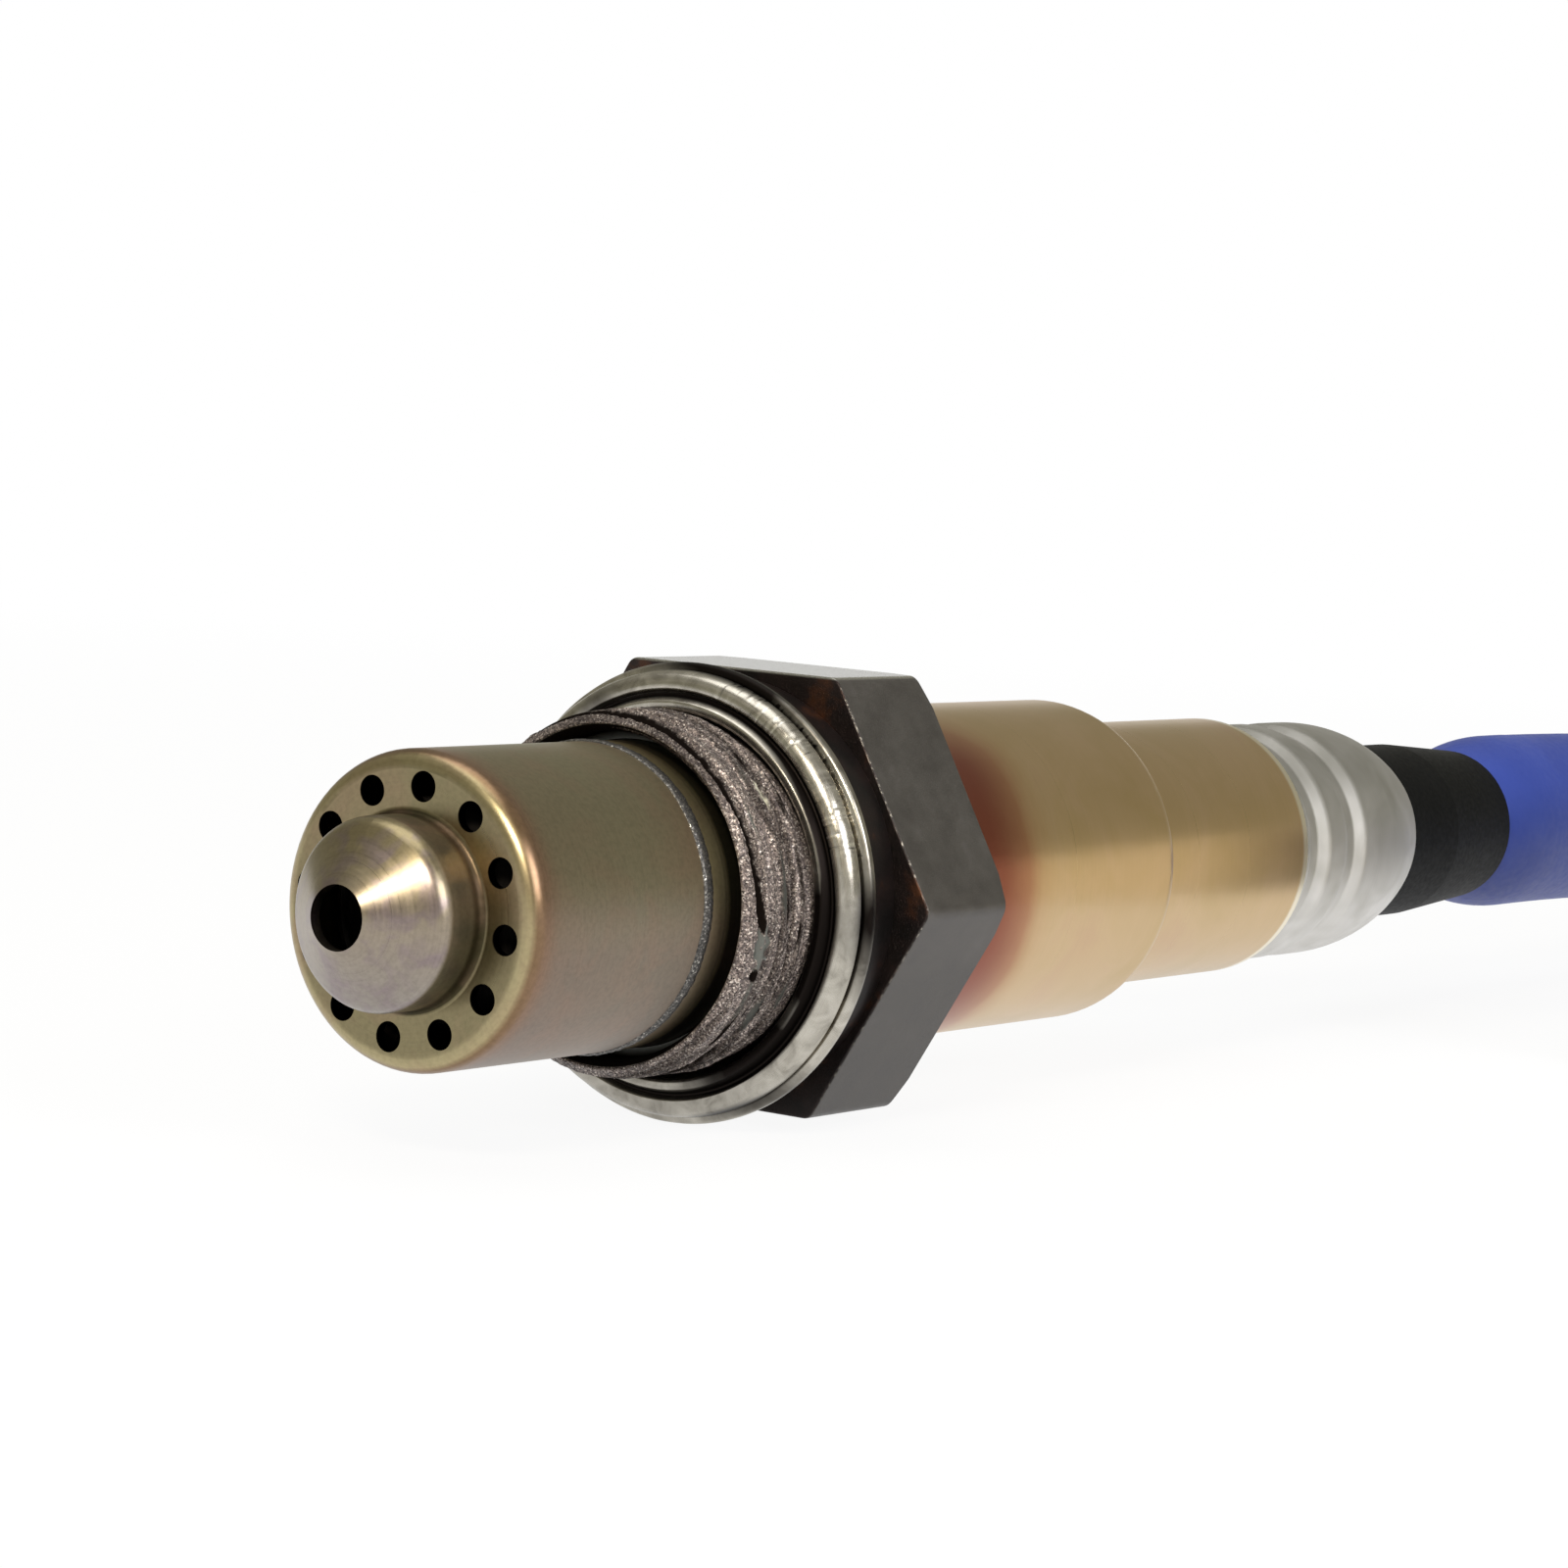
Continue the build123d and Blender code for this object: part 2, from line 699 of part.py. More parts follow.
# Plug: it lies beside the sensor, its mouth towards +Y, at the end of the hose
plug_x, plug_rear_y, _ = hose_route[-1]
shell_rear_y = plug_rear_y + plug_cap_length
plug_front_y = shell_rear_y + plug_shell_length
mouth_floor_y = plug_front_y - plug_mouth_depth
web_rear_y = mouth_floor_y - plug_web
cavity_width = plug_width - 2 * plug_wall
cavity_height = plug_height - 2 * plug_wall
plug_top_z = plug_z + plug_height / 2


def plug_plane(y):
    """A sketch plane across the plug at y: its own x runs along X, its own y along Z."""
    return Plane(origin=(plug_x, y, plug_z), x_dir=(1, 0, 0), z_dir=(0, -1, 0))


pin_width_slot = pin_width + 2 * slip_fit
pin_thickness_slot = pin_thickness + 2 * slip_fit
with BuildPart() as plug_housing:
    with BuildSketch(plug_plane(plug_front_y)):
        RectangleRounded(plug_width, plug_height, plug_corner_round)
    extrude(amount=plug_shell_length)
    with BuildSketch(plug_plane(plug_front_y)):
        RectangleRounded(cavity_width, cavity_height, plug_mouth_round)
    extrude(amount=plug_mouth_depth, mode=Mode.SUBTRACT)
    with BuildSketch(plug_plane(web_rear_y)):
        RectangleRounded(cavity_width, cavity_height, plug_mouth_round)
    extrude(amount=plug_shell_length, mode=Mode.SUBTRACT)
    with BuildSketch(plug_plane(mouth_floor_y + overrun)):
        with GridLocations(pin_pitch_x, pin_pitch_z, pin_columns, pin_rows):
            Rectangle(pin_width_slot, pin_thickness_slot)
    extrude(amount=plug_web + 2 * overrun, mode=Mode.SUBTRACT)
    with BuildSketch(Plane.YZ.offset(plug_x)):
        with BuildLine():
            Polyline(
                (plug_front_y - latch_setback, plug_top_z),
                (plug_front_y - latch_setback - latch_length, plug_top_z + latch_height),
                (plug_front_y - latch_setback - latch_length, plug_top_z - plug_wall / 2),
                (plug_front_y - latch_setback, plug_top_z - plug_wall / 2),
                close=True,
            )
        make_face()
    extrude(amount=latch_width / 2, both=True)
    with BuildSketch(plug_plane(plug_front_y - latch_setback)):
        with Locations((0, plug_height / 2 - plug_wall / 2)):
            with GridLocations(rail_spacing, rail_width, 2, 1):
                Rectangle(rail_width, rail_height + plug_wall / 2, align=(Align.CENTER, Align.MIN))
    extrude(amount=rail_length)
    with BuildSketch(plug_plane(plug_front_y)):
        with GridLocations(cavity_width - key_rib_height, cavity_height, 2, 1):
            Rectangle(key_rib_height, key_rib_width)
    extrude(amount=plug_mouth_depth)
plug_housing.part.label = "plug_housing"
export_step(plug_housing.part, "parts/plug_housing.step")


# Pin places: one for each contact wire and a last one for the trim resistor
pin_places = [
    ((column - (pin_columns - 1) / 2) * pin_pitch_x, (row - (pin_rows - 1) / 2) * pin_pitch_z)
    for row in range(pin_rows)
    for column in range(pin_columns)
]
seal_front_y = shell_rear_y + seal_length
pin_front_y = mouth_floor_y + pin_reach
pin_shoulder_y = pin_front_y - pin_point_length

# Pins: flat tabs with tapered points, through the carrier and the web
for number, (pin_x, pin_z) in enumerate(pin_places, start=1):
    with BuildPart() as plug_pin:
        with BuildSketch(plug_plane(pin_shoulder_y)):
            with Locations((pin_x, pin_z)):
                Rectangle(pin_width, pin_thickness)
        extrude(amount=pin_shoulder_y - seal_front_y)
        with BuildSketch(plug_plane(pin_shoulder_y)):
            with Locations((pin_x, pin_z)):
                Rectangle(pin_width, pin_thickness)
        with BuildSketch(plug_plane(pin_front_y)):
            with Locations((pin_x, pin_z)):
                Rectangle(pin_point_share * pin_width, pin_point_share * pin_thickness)
        loft()
    plug_pin.part.label = "plug_pin_" + str(number)
    export_step(plug_pin.part, "parts/plug_pin_" + str(number) + ".step")

# Pin carrier: the block behind the web that holds the pins' roots
with BuildPart() as pin_carrier:
    with BuildSketch(plug_plane(web_rear_y)):
        RectangleRounded(
            cavity_width - 2 * slip_fit,
            cavity_height - 2 * slip_fit,
            plug_mouth_round - slip_fit,
        )
        with Locations(*pin_places):
            Rectangle(pin_width_slot, pin_thickness_slot, mode=Mode.SUBTRACT)
    extrude(amount=web_rear_y - seal_front_y)
pin_carrier.part.label = "pin_carrier"
export_step(pin_carrier.part, "parts/pin_carrier.step")

# Wire seal: a rubber mat with two grooves between its lips and a bore for each lead
with BuildPart() as wire_seal:
    with BuildSketch(plug_plane(seal_front_y)):
        RectangleRounded(
            cavity_width - 2 * slip_fit,
            cavity_height - 2 * slip_fit,
            plug_mouth_round - slip_fit,
        )
        with Locations(*pin_places[:-1]):
            Circle(wire_radius + wire_hole_gap, mode=Mode.SUBTRACT)
        with Locations(pin_places[-1]):
            Circle(resistor_lead_radius + wire_hole_gap, mode=Mode.SUBTRACT)
    extrude(amount=seal_length)
    for side in (1, -1):
        groove_y = seal_front_y - seal_length / 2 + (side * seal_groove_pitch + seal_groove_width) / 2
        with BuildSketch(plug_plane(groove_y)):
            Rectangle(plug_width, plug_height)
            RectangleRounded(
                cavity_width - 2 * seal_groove_depth,
                cavity_height - 2 * seal_groove_depth,
                plug_mouth_round - slip_fit,
                mode=Mode.SUBTRACT,
            )
        extrude(amount=seal_groove_width, mode=Mode.SUBTRACT)
wire_seal.part.label = "wire_seal"
export_step(wire_seal.part, "parts/wire_seal.step")

# Rear cap: a rectangular collar that tapers to the hose, with a pocket for the leads
with BuildPart() as plug_rear_cap:
    with BuildSketch(plug_plane(shell_rear_y)):
        RectangleRounded(plug_width, plug_height, plug_corner_round)
    extrude(amount=cap_collar_length)
    with BuildSketch(plug_plane(shell_rear_y - cap_collar_length)):
        RectangleRounded(
            plug_width - 2 * cap_step, plug_height - 2 * cap_step, plug_corner_round
        )
    with BuildSketch(plug_plane(plug_rear_y)):
        RectangleRounded(cap_tail_width, cap_tail_height, cap_tail_round)
    loft()
    with BuildSketch(plug_plane(shell_rear_y)):
        Rectangle(cap_pocket_width, cap_pocket_height)
    extrude(amount=cap_pocket_depth, mode=Mode.SUBTRACT)
plug_rear_cap.part.label = "plug_rear_cap"
export_step(plug_rear_cap.part, "parts/plug_rear_cap.step")

# Plug leads: the five wires from the cap's pocket through the seal to the pins' roots
with BuildPart() as plug_leads:
    with BuildSketch(plug_plane(seal_front_y)):
        with Locations(*pin_places[:-1]):
            Circle(wire_radius)
    extrude(amount=seal_length + cap_pocket_depth)
plug_leads.part.label = "plug_leads"
export_step(plug_leads.part, "parts/plug_leads.step")

# Trim resistor: it stands in the pocket on its lead, behind the sixth pin
with BuildPart() as trim_resistor:
    with BuildSketch(plug_plane(seal_front_y)):
        with Locations(pin_places[-1]):
            Circle(resistor_lead_radius)
    extrude(amount=seal_length + slip_fit)
    with BuildSketch(plug_plane(shell_rear_y - slip_fit)):
        with Locations(pin_places[-1]):
            Circle(resistor_radius)
    extrude(amount=resistor_length)
trim_resistor.part.label = "trim_resistor"
export_step(trim_resistor.part, "parts/trim_resistor.step")

# Lock slide: it sits on the housing between the rails, behind the latch
slide_front_y = plug_front_y - latch_setback - latch_length - slip_fit
with BuildPart() as lock_slide:
    with BuildSketch(Plane.XY.offset(plug_top_z)):
        with Locations((plug_x, slide_front_y - slide_length / 2)):
            Rectangle(slide_width, slide_length)
    extrude(amount=slide_thickness)
    with BuildSketch(Plane.XY.offset(plug_top_z + slide_thickness)):
        with Locations((plug_x, slide_front_y - slide_length + slide_rib_width)):
            Rectangle(slide_width - 2 * slide_rib_width, slide_rib_width)
    extrude(amount=slide_rib_height)
lock_slide.part.label = "lock_slide"
export_step(lock_slide.part, "parts/lock_slide.step")
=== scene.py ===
# %% [markdown]
# # An exhaust oxygen sensor
# The sensor screws into an exhaust pipe and measures the oxygen that is left in the gas. The model
# from CAD gives every size. This script dresses it: it adds the thread with its anti-seize paste,
# the folded gasket, the weld and the heat colours, and gives every other piece its real finish.
#
# The frame has its origin on the sensor's axis, where the thread ends and the gasket begins.
# +X runs along the axis from the tip to the lead, and +Z is up. Blender works in metres.

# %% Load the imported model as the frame
import math
from functools import lru_cache

import bpy
from mathutils import Matrix, Vector, noise


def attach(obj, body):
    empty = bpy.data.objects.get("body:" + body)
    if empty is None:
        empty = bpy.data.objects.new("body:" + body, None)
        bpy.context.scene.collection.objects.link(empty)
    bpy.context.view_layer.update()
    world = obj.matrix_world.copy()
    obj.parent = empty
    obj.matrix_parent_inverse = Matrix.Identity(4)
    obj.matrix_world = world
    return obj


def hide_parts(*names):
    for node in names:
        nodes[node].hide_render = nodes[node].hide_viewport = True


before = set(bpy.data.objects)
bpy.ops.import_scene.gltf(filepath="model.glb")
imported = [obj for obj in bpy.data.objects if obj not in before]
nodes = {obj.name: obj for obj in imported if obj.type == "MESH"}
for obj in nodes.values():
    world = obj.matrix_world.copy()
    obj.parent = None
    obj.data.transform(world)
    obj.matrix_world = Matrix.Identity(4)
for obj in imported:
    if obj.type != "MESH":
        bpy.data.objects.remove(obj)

MM = 0.001
finished = set()         # the CAD nodes that have got a finish, or a visible form in their place
show = bpy.context.scene.collection.objects.link
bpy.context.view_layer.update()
print("CAD nodes:", len(nodes))

# %% [markdown]
# ## The camera
# The photographer stood in front of the tip and a little to its right, almost level with the
# sensor, with a long lens. A camera was fitted to the hexagon's corners, the ring of gas holes and
# the tubes' edges in the 1600 pixel photograph, so its place is a measured one. Three turns aim it:
# yaw from +X towards +Y, pitch above the level, and roll about its own line of sight.

# %% Place the camera
photo_pixels = 1600
sensor_width = 36.0
camera_place = (-188.47, -138.14, 25.22)
camera_yaw = math.radians(34.848)
camera_pitch = math.radians(-4.791)
camera_roll = math.radians(3.627)
focal_pixels = 4853.8

sight = Vector((
    math.cos(camera_pitch) * math.cos(camera_yaw),
    math.cos(camera_pitch) * math.sin(camera_yaw),
    math.sin(camera_pitch),
))
level_right = sight.cross(Vector((0, 0, 1))).normalized()
level_up = level_right.cross(sight)
camera_right = math.cos(camera_roll) * level_right + math.sin(camera_roll) * level_up
camera_up = camera_right.cross(sight)

camera_data = bpy.data.cameras.new("camera")
camera_data.sensor_width = sensor_width
camera_data.lens = focal_pixels / photo_pixels * sensor_width
camera_data.clip_start = 0.01
camera_data.clip_end = 20
camera = bpy.data.objects.new("camera", camera_data)
turn = Matrix((camera_right, camera_up, -sight)).transposed()
camera.matrix_world = Matrix.Translation(Vector(camera_place) * MM) @ turn.to_4x4()
show(camera)
bpy.context.scene.camera = camera
print("lens in mm:", round(camera_data.lens, 1))

# %% [markdown]
# ## The hose
# Five wires leave the grommet inside one smooth silicone hose. It starts straight back along the
# axis, comes down to the surface, goes once round beside the sensor and ends in the plug. A NURBS
# curve bends the way such a hose does, with no kinks, so the route is a short list of control
# points. Blender's bevel gives it its thickness, which is the bevel's depth times each point's
# radius. The depth is 1 and the points hold the real radius, because the box that Blender reports
# for a curve grows by its points' radius in metres.

# %% Lay the hose
hose_radius = 5.5
neck_end_x = 92.0
lie_z = -5.98
plug_z = -2.5
hose_route = [
    (neck_end_x, 0, 0),
    (neck_end_x + 21.5, 0, 0),
    (neck_end_x + 46, -2.6, -4.3),
    (neck_end_x + 71.5, -9.5, lie_z),
    (neck_end_x + 94.5, -27, lie_z),
    (neck_end_x + 108, -56.5, lie_z),
    (neck_end_x + 108, -90, lie_z),
    (neck_end_x + 94, -118, lie_z),
    (neck_end_x + 67.5, -136, lie_z),
    (neck_end_x + 34, -137, lie_z),
    (neck_end_x + 4, -121, lie_z),
    (neck_end_x - 13, -94, plug_z),
    (neck_end_x - 13, -62, plug_z),
]
hose_curve = bpy.data.curves.new("blue_hose", "CURVE")
hose_curve.dimensions = "3D"
hose_curve.bevel_depth = 1.0
hose_curve.bevel_resolution = 12
hose_curve.resolution_u = 16
hose_curve.use_fill_caps = True
spline = hose_curve.splines.new("NURBS")
spline.points.add(len(hose_route) - 1)
for point, place in zip(spline.points, hose_route):
    point.co = (*[value * MM for value in place], 1)
    point.radius = hose_radius * MM
spline.order_u = 3
spline.use_endpoint_u = True
blue_hose = bpy.data.objects.new("blue_hose", hose_curve)
show(blue_hose)
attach(blue_hose, "root")
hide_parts("hose")
finished.add("hose")

# %% [markdown]
# ## Colours and nodes
# Colours are written as sRGB hex codes, as a paint chart gives them, and one function turns them
# into the linear values that the shaders work in. A second function adds any kind of node with its
# settings and links, so that each material below reads as a short list of what it is made of.

# %% Helpers for colours and nodes
def linear(code):
    """An sRGB hex code as the linear RGBA that Blender's sockets take."""
    channels = [int(code[start:start + 2], 16) / 255 for start in (1, 3, 5)]
    return (*[c / 12.92 if c <= 0.04045 else ((c + 0.055) / 1.055) ** 2.4 for c in channels], 1.0)


def feed(tree, node, values):
    """Gives a node its values: a socket is linked, and a plain value sets a setting or an input."""
    for name, value in values.items():
        if isinstance(value, bpy.types.NodeSocket):
            tree.links.new(value, node.inputs[name])
        elif isinstance(name, str) and hasattr(node, name):
            setattr(node, name, value)
        else:
            node.inputs[name].default_value = value


def add(tree, kind, *groups):
    """Adds a node of that kind, feeds it each group of values, and returns it."""
    node = tree.nodes.new("ShaderNode" + kind)
    for values in groups:
        feed(tree, node, values)
    return node


def calc(tree, operation, *values):
    """The result of a Math node. Each value is a socket or a number."""
    return add(tree, "Math", {"operation": operation}, dict(enumerate(values))).outputs[0]


def object_place(tree):
    """The place in the object's own coordinates."""
    return add(tree, "TexCoord").outputs["Object"]


def height_of(tree, place):
    """The Z of a place, in metres, or of a direction."""
    return add(tree, "SeparateXYZ", {0: place}).outputs["Z"]


def new_finish(name):
    """An empty material, its node tree and its Principled shader."""
    material = bpy.data.materials.new(name)
    material.use_nodes = True
    return material, material.node_tree, material.node_tree.nodes["Principled BSDF"]


def ramp(tree, factor, stops):
    """A colour ramp: stops are (place, colour) pairs, with hex codes or greys from 0 to 1."""
    node = add(tree, "ValToRGB", {"Fac": factor})
    elements = node.color_ramp.elements
    while len(elements) < len(stops):
        elements.new(0.5)
    for element, (place, colour) in zip(elements, stops):
        element.position = place
        element.color = linear(colour) if isinstance(colour, str) else (colour, colour, colour, 1)
    return node.outputs["Color"]


def mix(tree, factor, a, b, blend="MIX"):
    """Mixes two colours. Each is a socket or a hex code. The factor is a socket or a number."""
    node = add(tree, "Mix", {"data_type": "RGBA", "blend_type": blend}, {0: factor})
    for index, value in ((6, a), (7, b)):
        feed(tree, node, {index: linear(value) if isinstance(value, str) else value})
    return node.outputs[2]


def paint(names, material):
    """Gives CAD nodes a material in place of their plain one."""
    finished.update(names)
    for name in names:
        nodes[name].data.materials.clear()
        nodes[name].data.materials.append(material)


print("white in linear light:", linear("#ffffff"))

# %% [markdown]
# ## The table and the light
# The sensor lies on a white sheet. The sheet keeps its soft shadow but is bright enough for the
# camera to see it as paper white, which its own shader does by adding light for camera rays, and
# for the glossy and transmitted rays that show the sheet in the object. It adds a little less near
# the object, so that the shadow shows.
#
# Metal shows its surroundings more than its own colour, so the room matters: white near the
# horizon, and a dimmer warm grey overhead, which gives tubes their bright belly and darker back.
# A white card stands behind the sensor and lights the faces that the camera sees at a low angle.
# A warm window behind the camera puts the highlight on the cone, a cool one at the side puts one
# on the gasket, and a weak ceiling lamp makes the shadow.

# %% Stage, world and lamps
floor_z = -11.76
floor_size = 6
glow_grows = {"From Min": 0.1, "From Max": 0.4, "To Min": 0.92, "To Max": 1.0}
bpy.ops.mesh.primitive_plane_add(size=floor_size, location=(0.05, 0, floor_z * MM))
floor = bpy.context.object
floor.name = "floor"
paper, tree, shader = new_finish("white_paper")
feed(tree, shader, {"Base Color": linear("#f2f2f2"), "Roughness": 0.8, "Specular IOR Level": 0.1})
rays = add(tree, "LightPath").outputs
shine_rays = calc(tree, "MAXIMUM", rays["Is Glossy Ray"], rays["Is Transmission Ray"])
seen = calc(tree, "MAXIMUM", rays["Is Camera Ray"], shine_rays)
from_middle = add(tree, "VectorMath", {"operation": "LENGTH", 0: object_place(tree)})
near_or_far = add(tree, "MapRange", glow_grows, {"Value": from_middle.outputs["Value"]})
share = calc(tree, "MULTIPLY", seen, near_or_far.outputs[0])
glow = add(tree, "Emission", {"Color": (1, 1, 1, 1), "Strength": 1.0})
floor_mix = add(tree, "MixShader", {0: share, 1: shader.outputs[0], 2: glow.outputs[0]})
tree.links.new(floor_mix.outputs[0], tree.nodes["Material Output"].inputs["Surface"])
floor.data.materials.append(paper)

world = bpy.data.worlds.new("room")
bpy.context.scene.world = world
world.use_nodes = True
tree = world.node_tree
background = tree.nodes["Background"]
direction = add(tree, "TexCoord").outputs["Generated"]
height = height_of(tree, direction)
room = ramp(tree, height, [
    (0.0, "#ffffff"), (0.04, "#ffffff"), (0.08, "#a09d8a"), (0.5, "#9a978a"), (1.0, "#b4b2ab")])

# The card's sides are cosines of the angle off its middle, and its top edge is a height
card_sides = {"From Min": 0.86, "From Max": 0.95}
card_edge = {"From Min": 0.24, "From Max": 0.18}
card_direction = (math.cos(camera_yaw), math.sin(camera_yaw), 0)
towards_card = add(tree, "VectorMath", {
    "operation": "DOT_PRODUCT", 0: direction, 1: card_direction}).outputs["Value"]
card_width = add(tree, "MapRange", card_sides, {"Value": towards_card}).outputs[0]
card_top = add(tree, "MapRange", card_edge, {"Value": height}).outputs[0]
room = mix(tree, calc(tree, "MULTIPLY", card_width, card_top), room, "#ffffff")
camera_rays = add(tree, "LightPath").outputs["Is Camera Ray"]
feed(tree, background, {"Color": mix(tree, camera_rays, room, "#ffffff"), "Strength": 1.0})

bpy.context.scene.view_settings.view_transform = "Standard"
target = Vector((5, 0, 0)) * MM


def softbox(name, place, width, depth, watts, colour):
    """A rectangular lamp at a place in mm, aimed at the threaded body."""
    data = bpy.data.lights.new(name, "AREA")
    data.shape = "RECTANGLE"
    data.size = width * MM
    data.size_y = depth * MM
    data.energy = watts
    data.color = linear(colour)[:3]
    lamp = bpy.data.objects.new(name, data)
    lamp.location = Vector(place) * MM
    lamp.rotation_euler = (target - lamp.location).to_track_quat("-Z", "Y").to_euler()
    show(lamp)


softbox("window_behind_camera", (-436, -218, 360), 150, 110, 2.2, "#fff6e6")
softbox("window_at_the_side", (-40, -420, 200), 260, 200, 1.1, "#fbfbff")
softbox("ceiling", (-60, 80, 900), 700, 700, 3.0, "#ffffff")

# %% [markdown]
# ## Turned and drawn forms
# Almost every metal piece is round, so one helper makes a lathe form: it turns a profile about the
# X axis into rings of points and joins them, the last to the first. It lets a shape function move
# each point, which makes the hexagon and the thread from the same rings.

# %% Lathe and profile helpers
def rounded(points, radius, steps):
    """The points of an open profile with its inner corners rounded, by one size or a list."""
    radii = radius if isinstance(radius, (list, tuple)) else [radius] * (len(points) - 2)
    result = [points[0]]
    for before, corner, after, size in zip(points, points[1:], points[2:], radii):
        corner_point = Vector(corner)
        run_in = (Vector(before) - corner_point).normalized()
        run_out = (Vector(after) - corner_point).normalized()
        half = run_in.angle(run_out) / 2
        reach = size / math.tan(half)
        centre = corner_point + (run_in + run_out).normalized() * (size / math.sin(half))
        start = corner_point + run_in * reach - centre
        end = corner_point + run_out * reach - centre
        sweep = start.angle_signed(end)
        for step in range(steps + 1):
            angle = -sweep * step / steps
            spoke = Vector((
                start.x * math.cos(angle) - start.y * math.sin(angle),
                start.x * math.sin(angle) + start.y * math.cos(angle),
            ))
            result.append(tuple(centre + spoke))
    result.append(points[-1])
    return result


def lathe(name, profile, segments, sharp, shape=None, marks=()):
    """A mesh turned about X from a closed line of (x, radius) points in mm. shape(x, r, angle,
    index) may return a new (x, r) and a value for each of marks, which become attributes."""
    points = []
    values = {mark: [] for mark in marks}
    for index, (x, r) in enumerate(profile):
        for segment in range(segments):
            angle = 2 * math.pi * segment / segments
            at_x, at_r = x, r
            if shape:
                at_x, at_r, *extra = shape(x, r, angle, index)
                for mark, value in zip(marks, extra):
                    values[mark].append(value)
            points.append((at_x * MM, at_r * math.cos(angle) * MM, at_r * math.sin(angle) * MM))
    rings = len(profile)
    faces = []
    for ring in range(rings):
        after = (ring + 1) % rings
        for segment in range(segments):
            side = (segment + 1) % segments
            faces.append((ring * segments + segment, after * segments + segment,
                          after * segments + side, ring * segments + side))
    mesh = bpy.data.meshes.new(name)
    mesh.from_pydata(points, [], faces)
    for mark in marks:
        layer = mesh.attributes.new(mark, "FLOAT", "POINT")
        layer.data.foreach_set("value", values[mark])
    mesh.shade_smooth()
    mesh.set_sharp_from_angle(angle=math.radians(sharp))
    made = bpy.data.objects.new(name, mesh)
    show(made)
    print(name, "triangles:", 2 * len(faces))
    return made


def seat(piece, slot, *replaced):
    """A piece that rides on the sensor and stands for CAD nodes, which it hides. The slot is not
    used.
    """
    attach(piece, "root")
    if replaced:
        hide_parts(*replaced)
        finished.update(replaced)


print("helpers for rounded profiles and lathe forms are ready")

# %% [markdown]
# ## The threaded body
# The body is turned from hexagon bar: a bored nose, an M18 x 1.5 thread, an undercut, a collar and
# the hexagon. It could be cut with booleans, but rings of points are lighter and keep the edges
# clean. The thread is a helix: at each angle the crests lie one pitch apart and the whole pattern
# moves forward by one pitch a turn. Copper paste was smeared along it before it was fitted. It
# fills the grooves unevenly, so the surface is the higher of the steel and of a noisy fill. Where
# the sensor was screwed out the paste tore into strips with cracks between them, which are painted
# dark as painted shade, and two bands are darker. The bore and the undercut behind the paste are
# painted dark too, a painted shade. The cracks run round the body, so each is a list of places
# that a ring point looks up by its angle.

# %% Body, thread and paste
thread_radius = 9.0
thread_pitch = 1.5
thread_depth = 0.6134 * thread_pitch
thread_front_x = -5.0
thread_run_out_x = -0.35
run_out_slope = 1.2
groove_x = -4.42
lead_chamfer = 0.6
undercut_radius = 8.1
nose_bore_radius = 8.0
nose_bore_end_x = -2.8
nose_rim_radius = 8.36
tube_seat_radius = 7.58
gasket_back_x = 2.2
collar_radius = 10.6
collar_bevel = 0.1
hex_half_width = 11.0
hex_corner_round = 0.7
hex_front_x = 4.8
hex_rear_x = 12.3
hex_trim_radius = 11.8
hex_trim_slope = math.radians(30)
edge_round = 0.12
worn_from = math.radians(112)
worn_to = math.radians(186)
spigot_radius = 8.35
spigot_end_x = 16.3
crimp_lip_radius = 4.9
crimp_lip_x = (15.0, 15.8)
packing_bore_radius = 5.6
packing_lip_radius = 4.6
packing_lip_x = (-0.6, 0.8)

# The paste: its usual radius in the grooves, its film over the crests, and how far it goes
paste_radius = 8.83
paste_film = 0.035
paste_end_x = 0.3
bare_depth = 0.12
crack_soft_edge = 0.05

# Oval patches: x, angle in degrees, half length along x, half length in degrees
bare_patches = [(-3.5, 191, 0.62, 7.0), (-2.1, 60, 0.3, 12), (-3.0, 300, 0.35, 15)]
# A pale patch on the paste: a painted highlight
highlight_patch = (-1.95, 142, 0.32, 5.0)

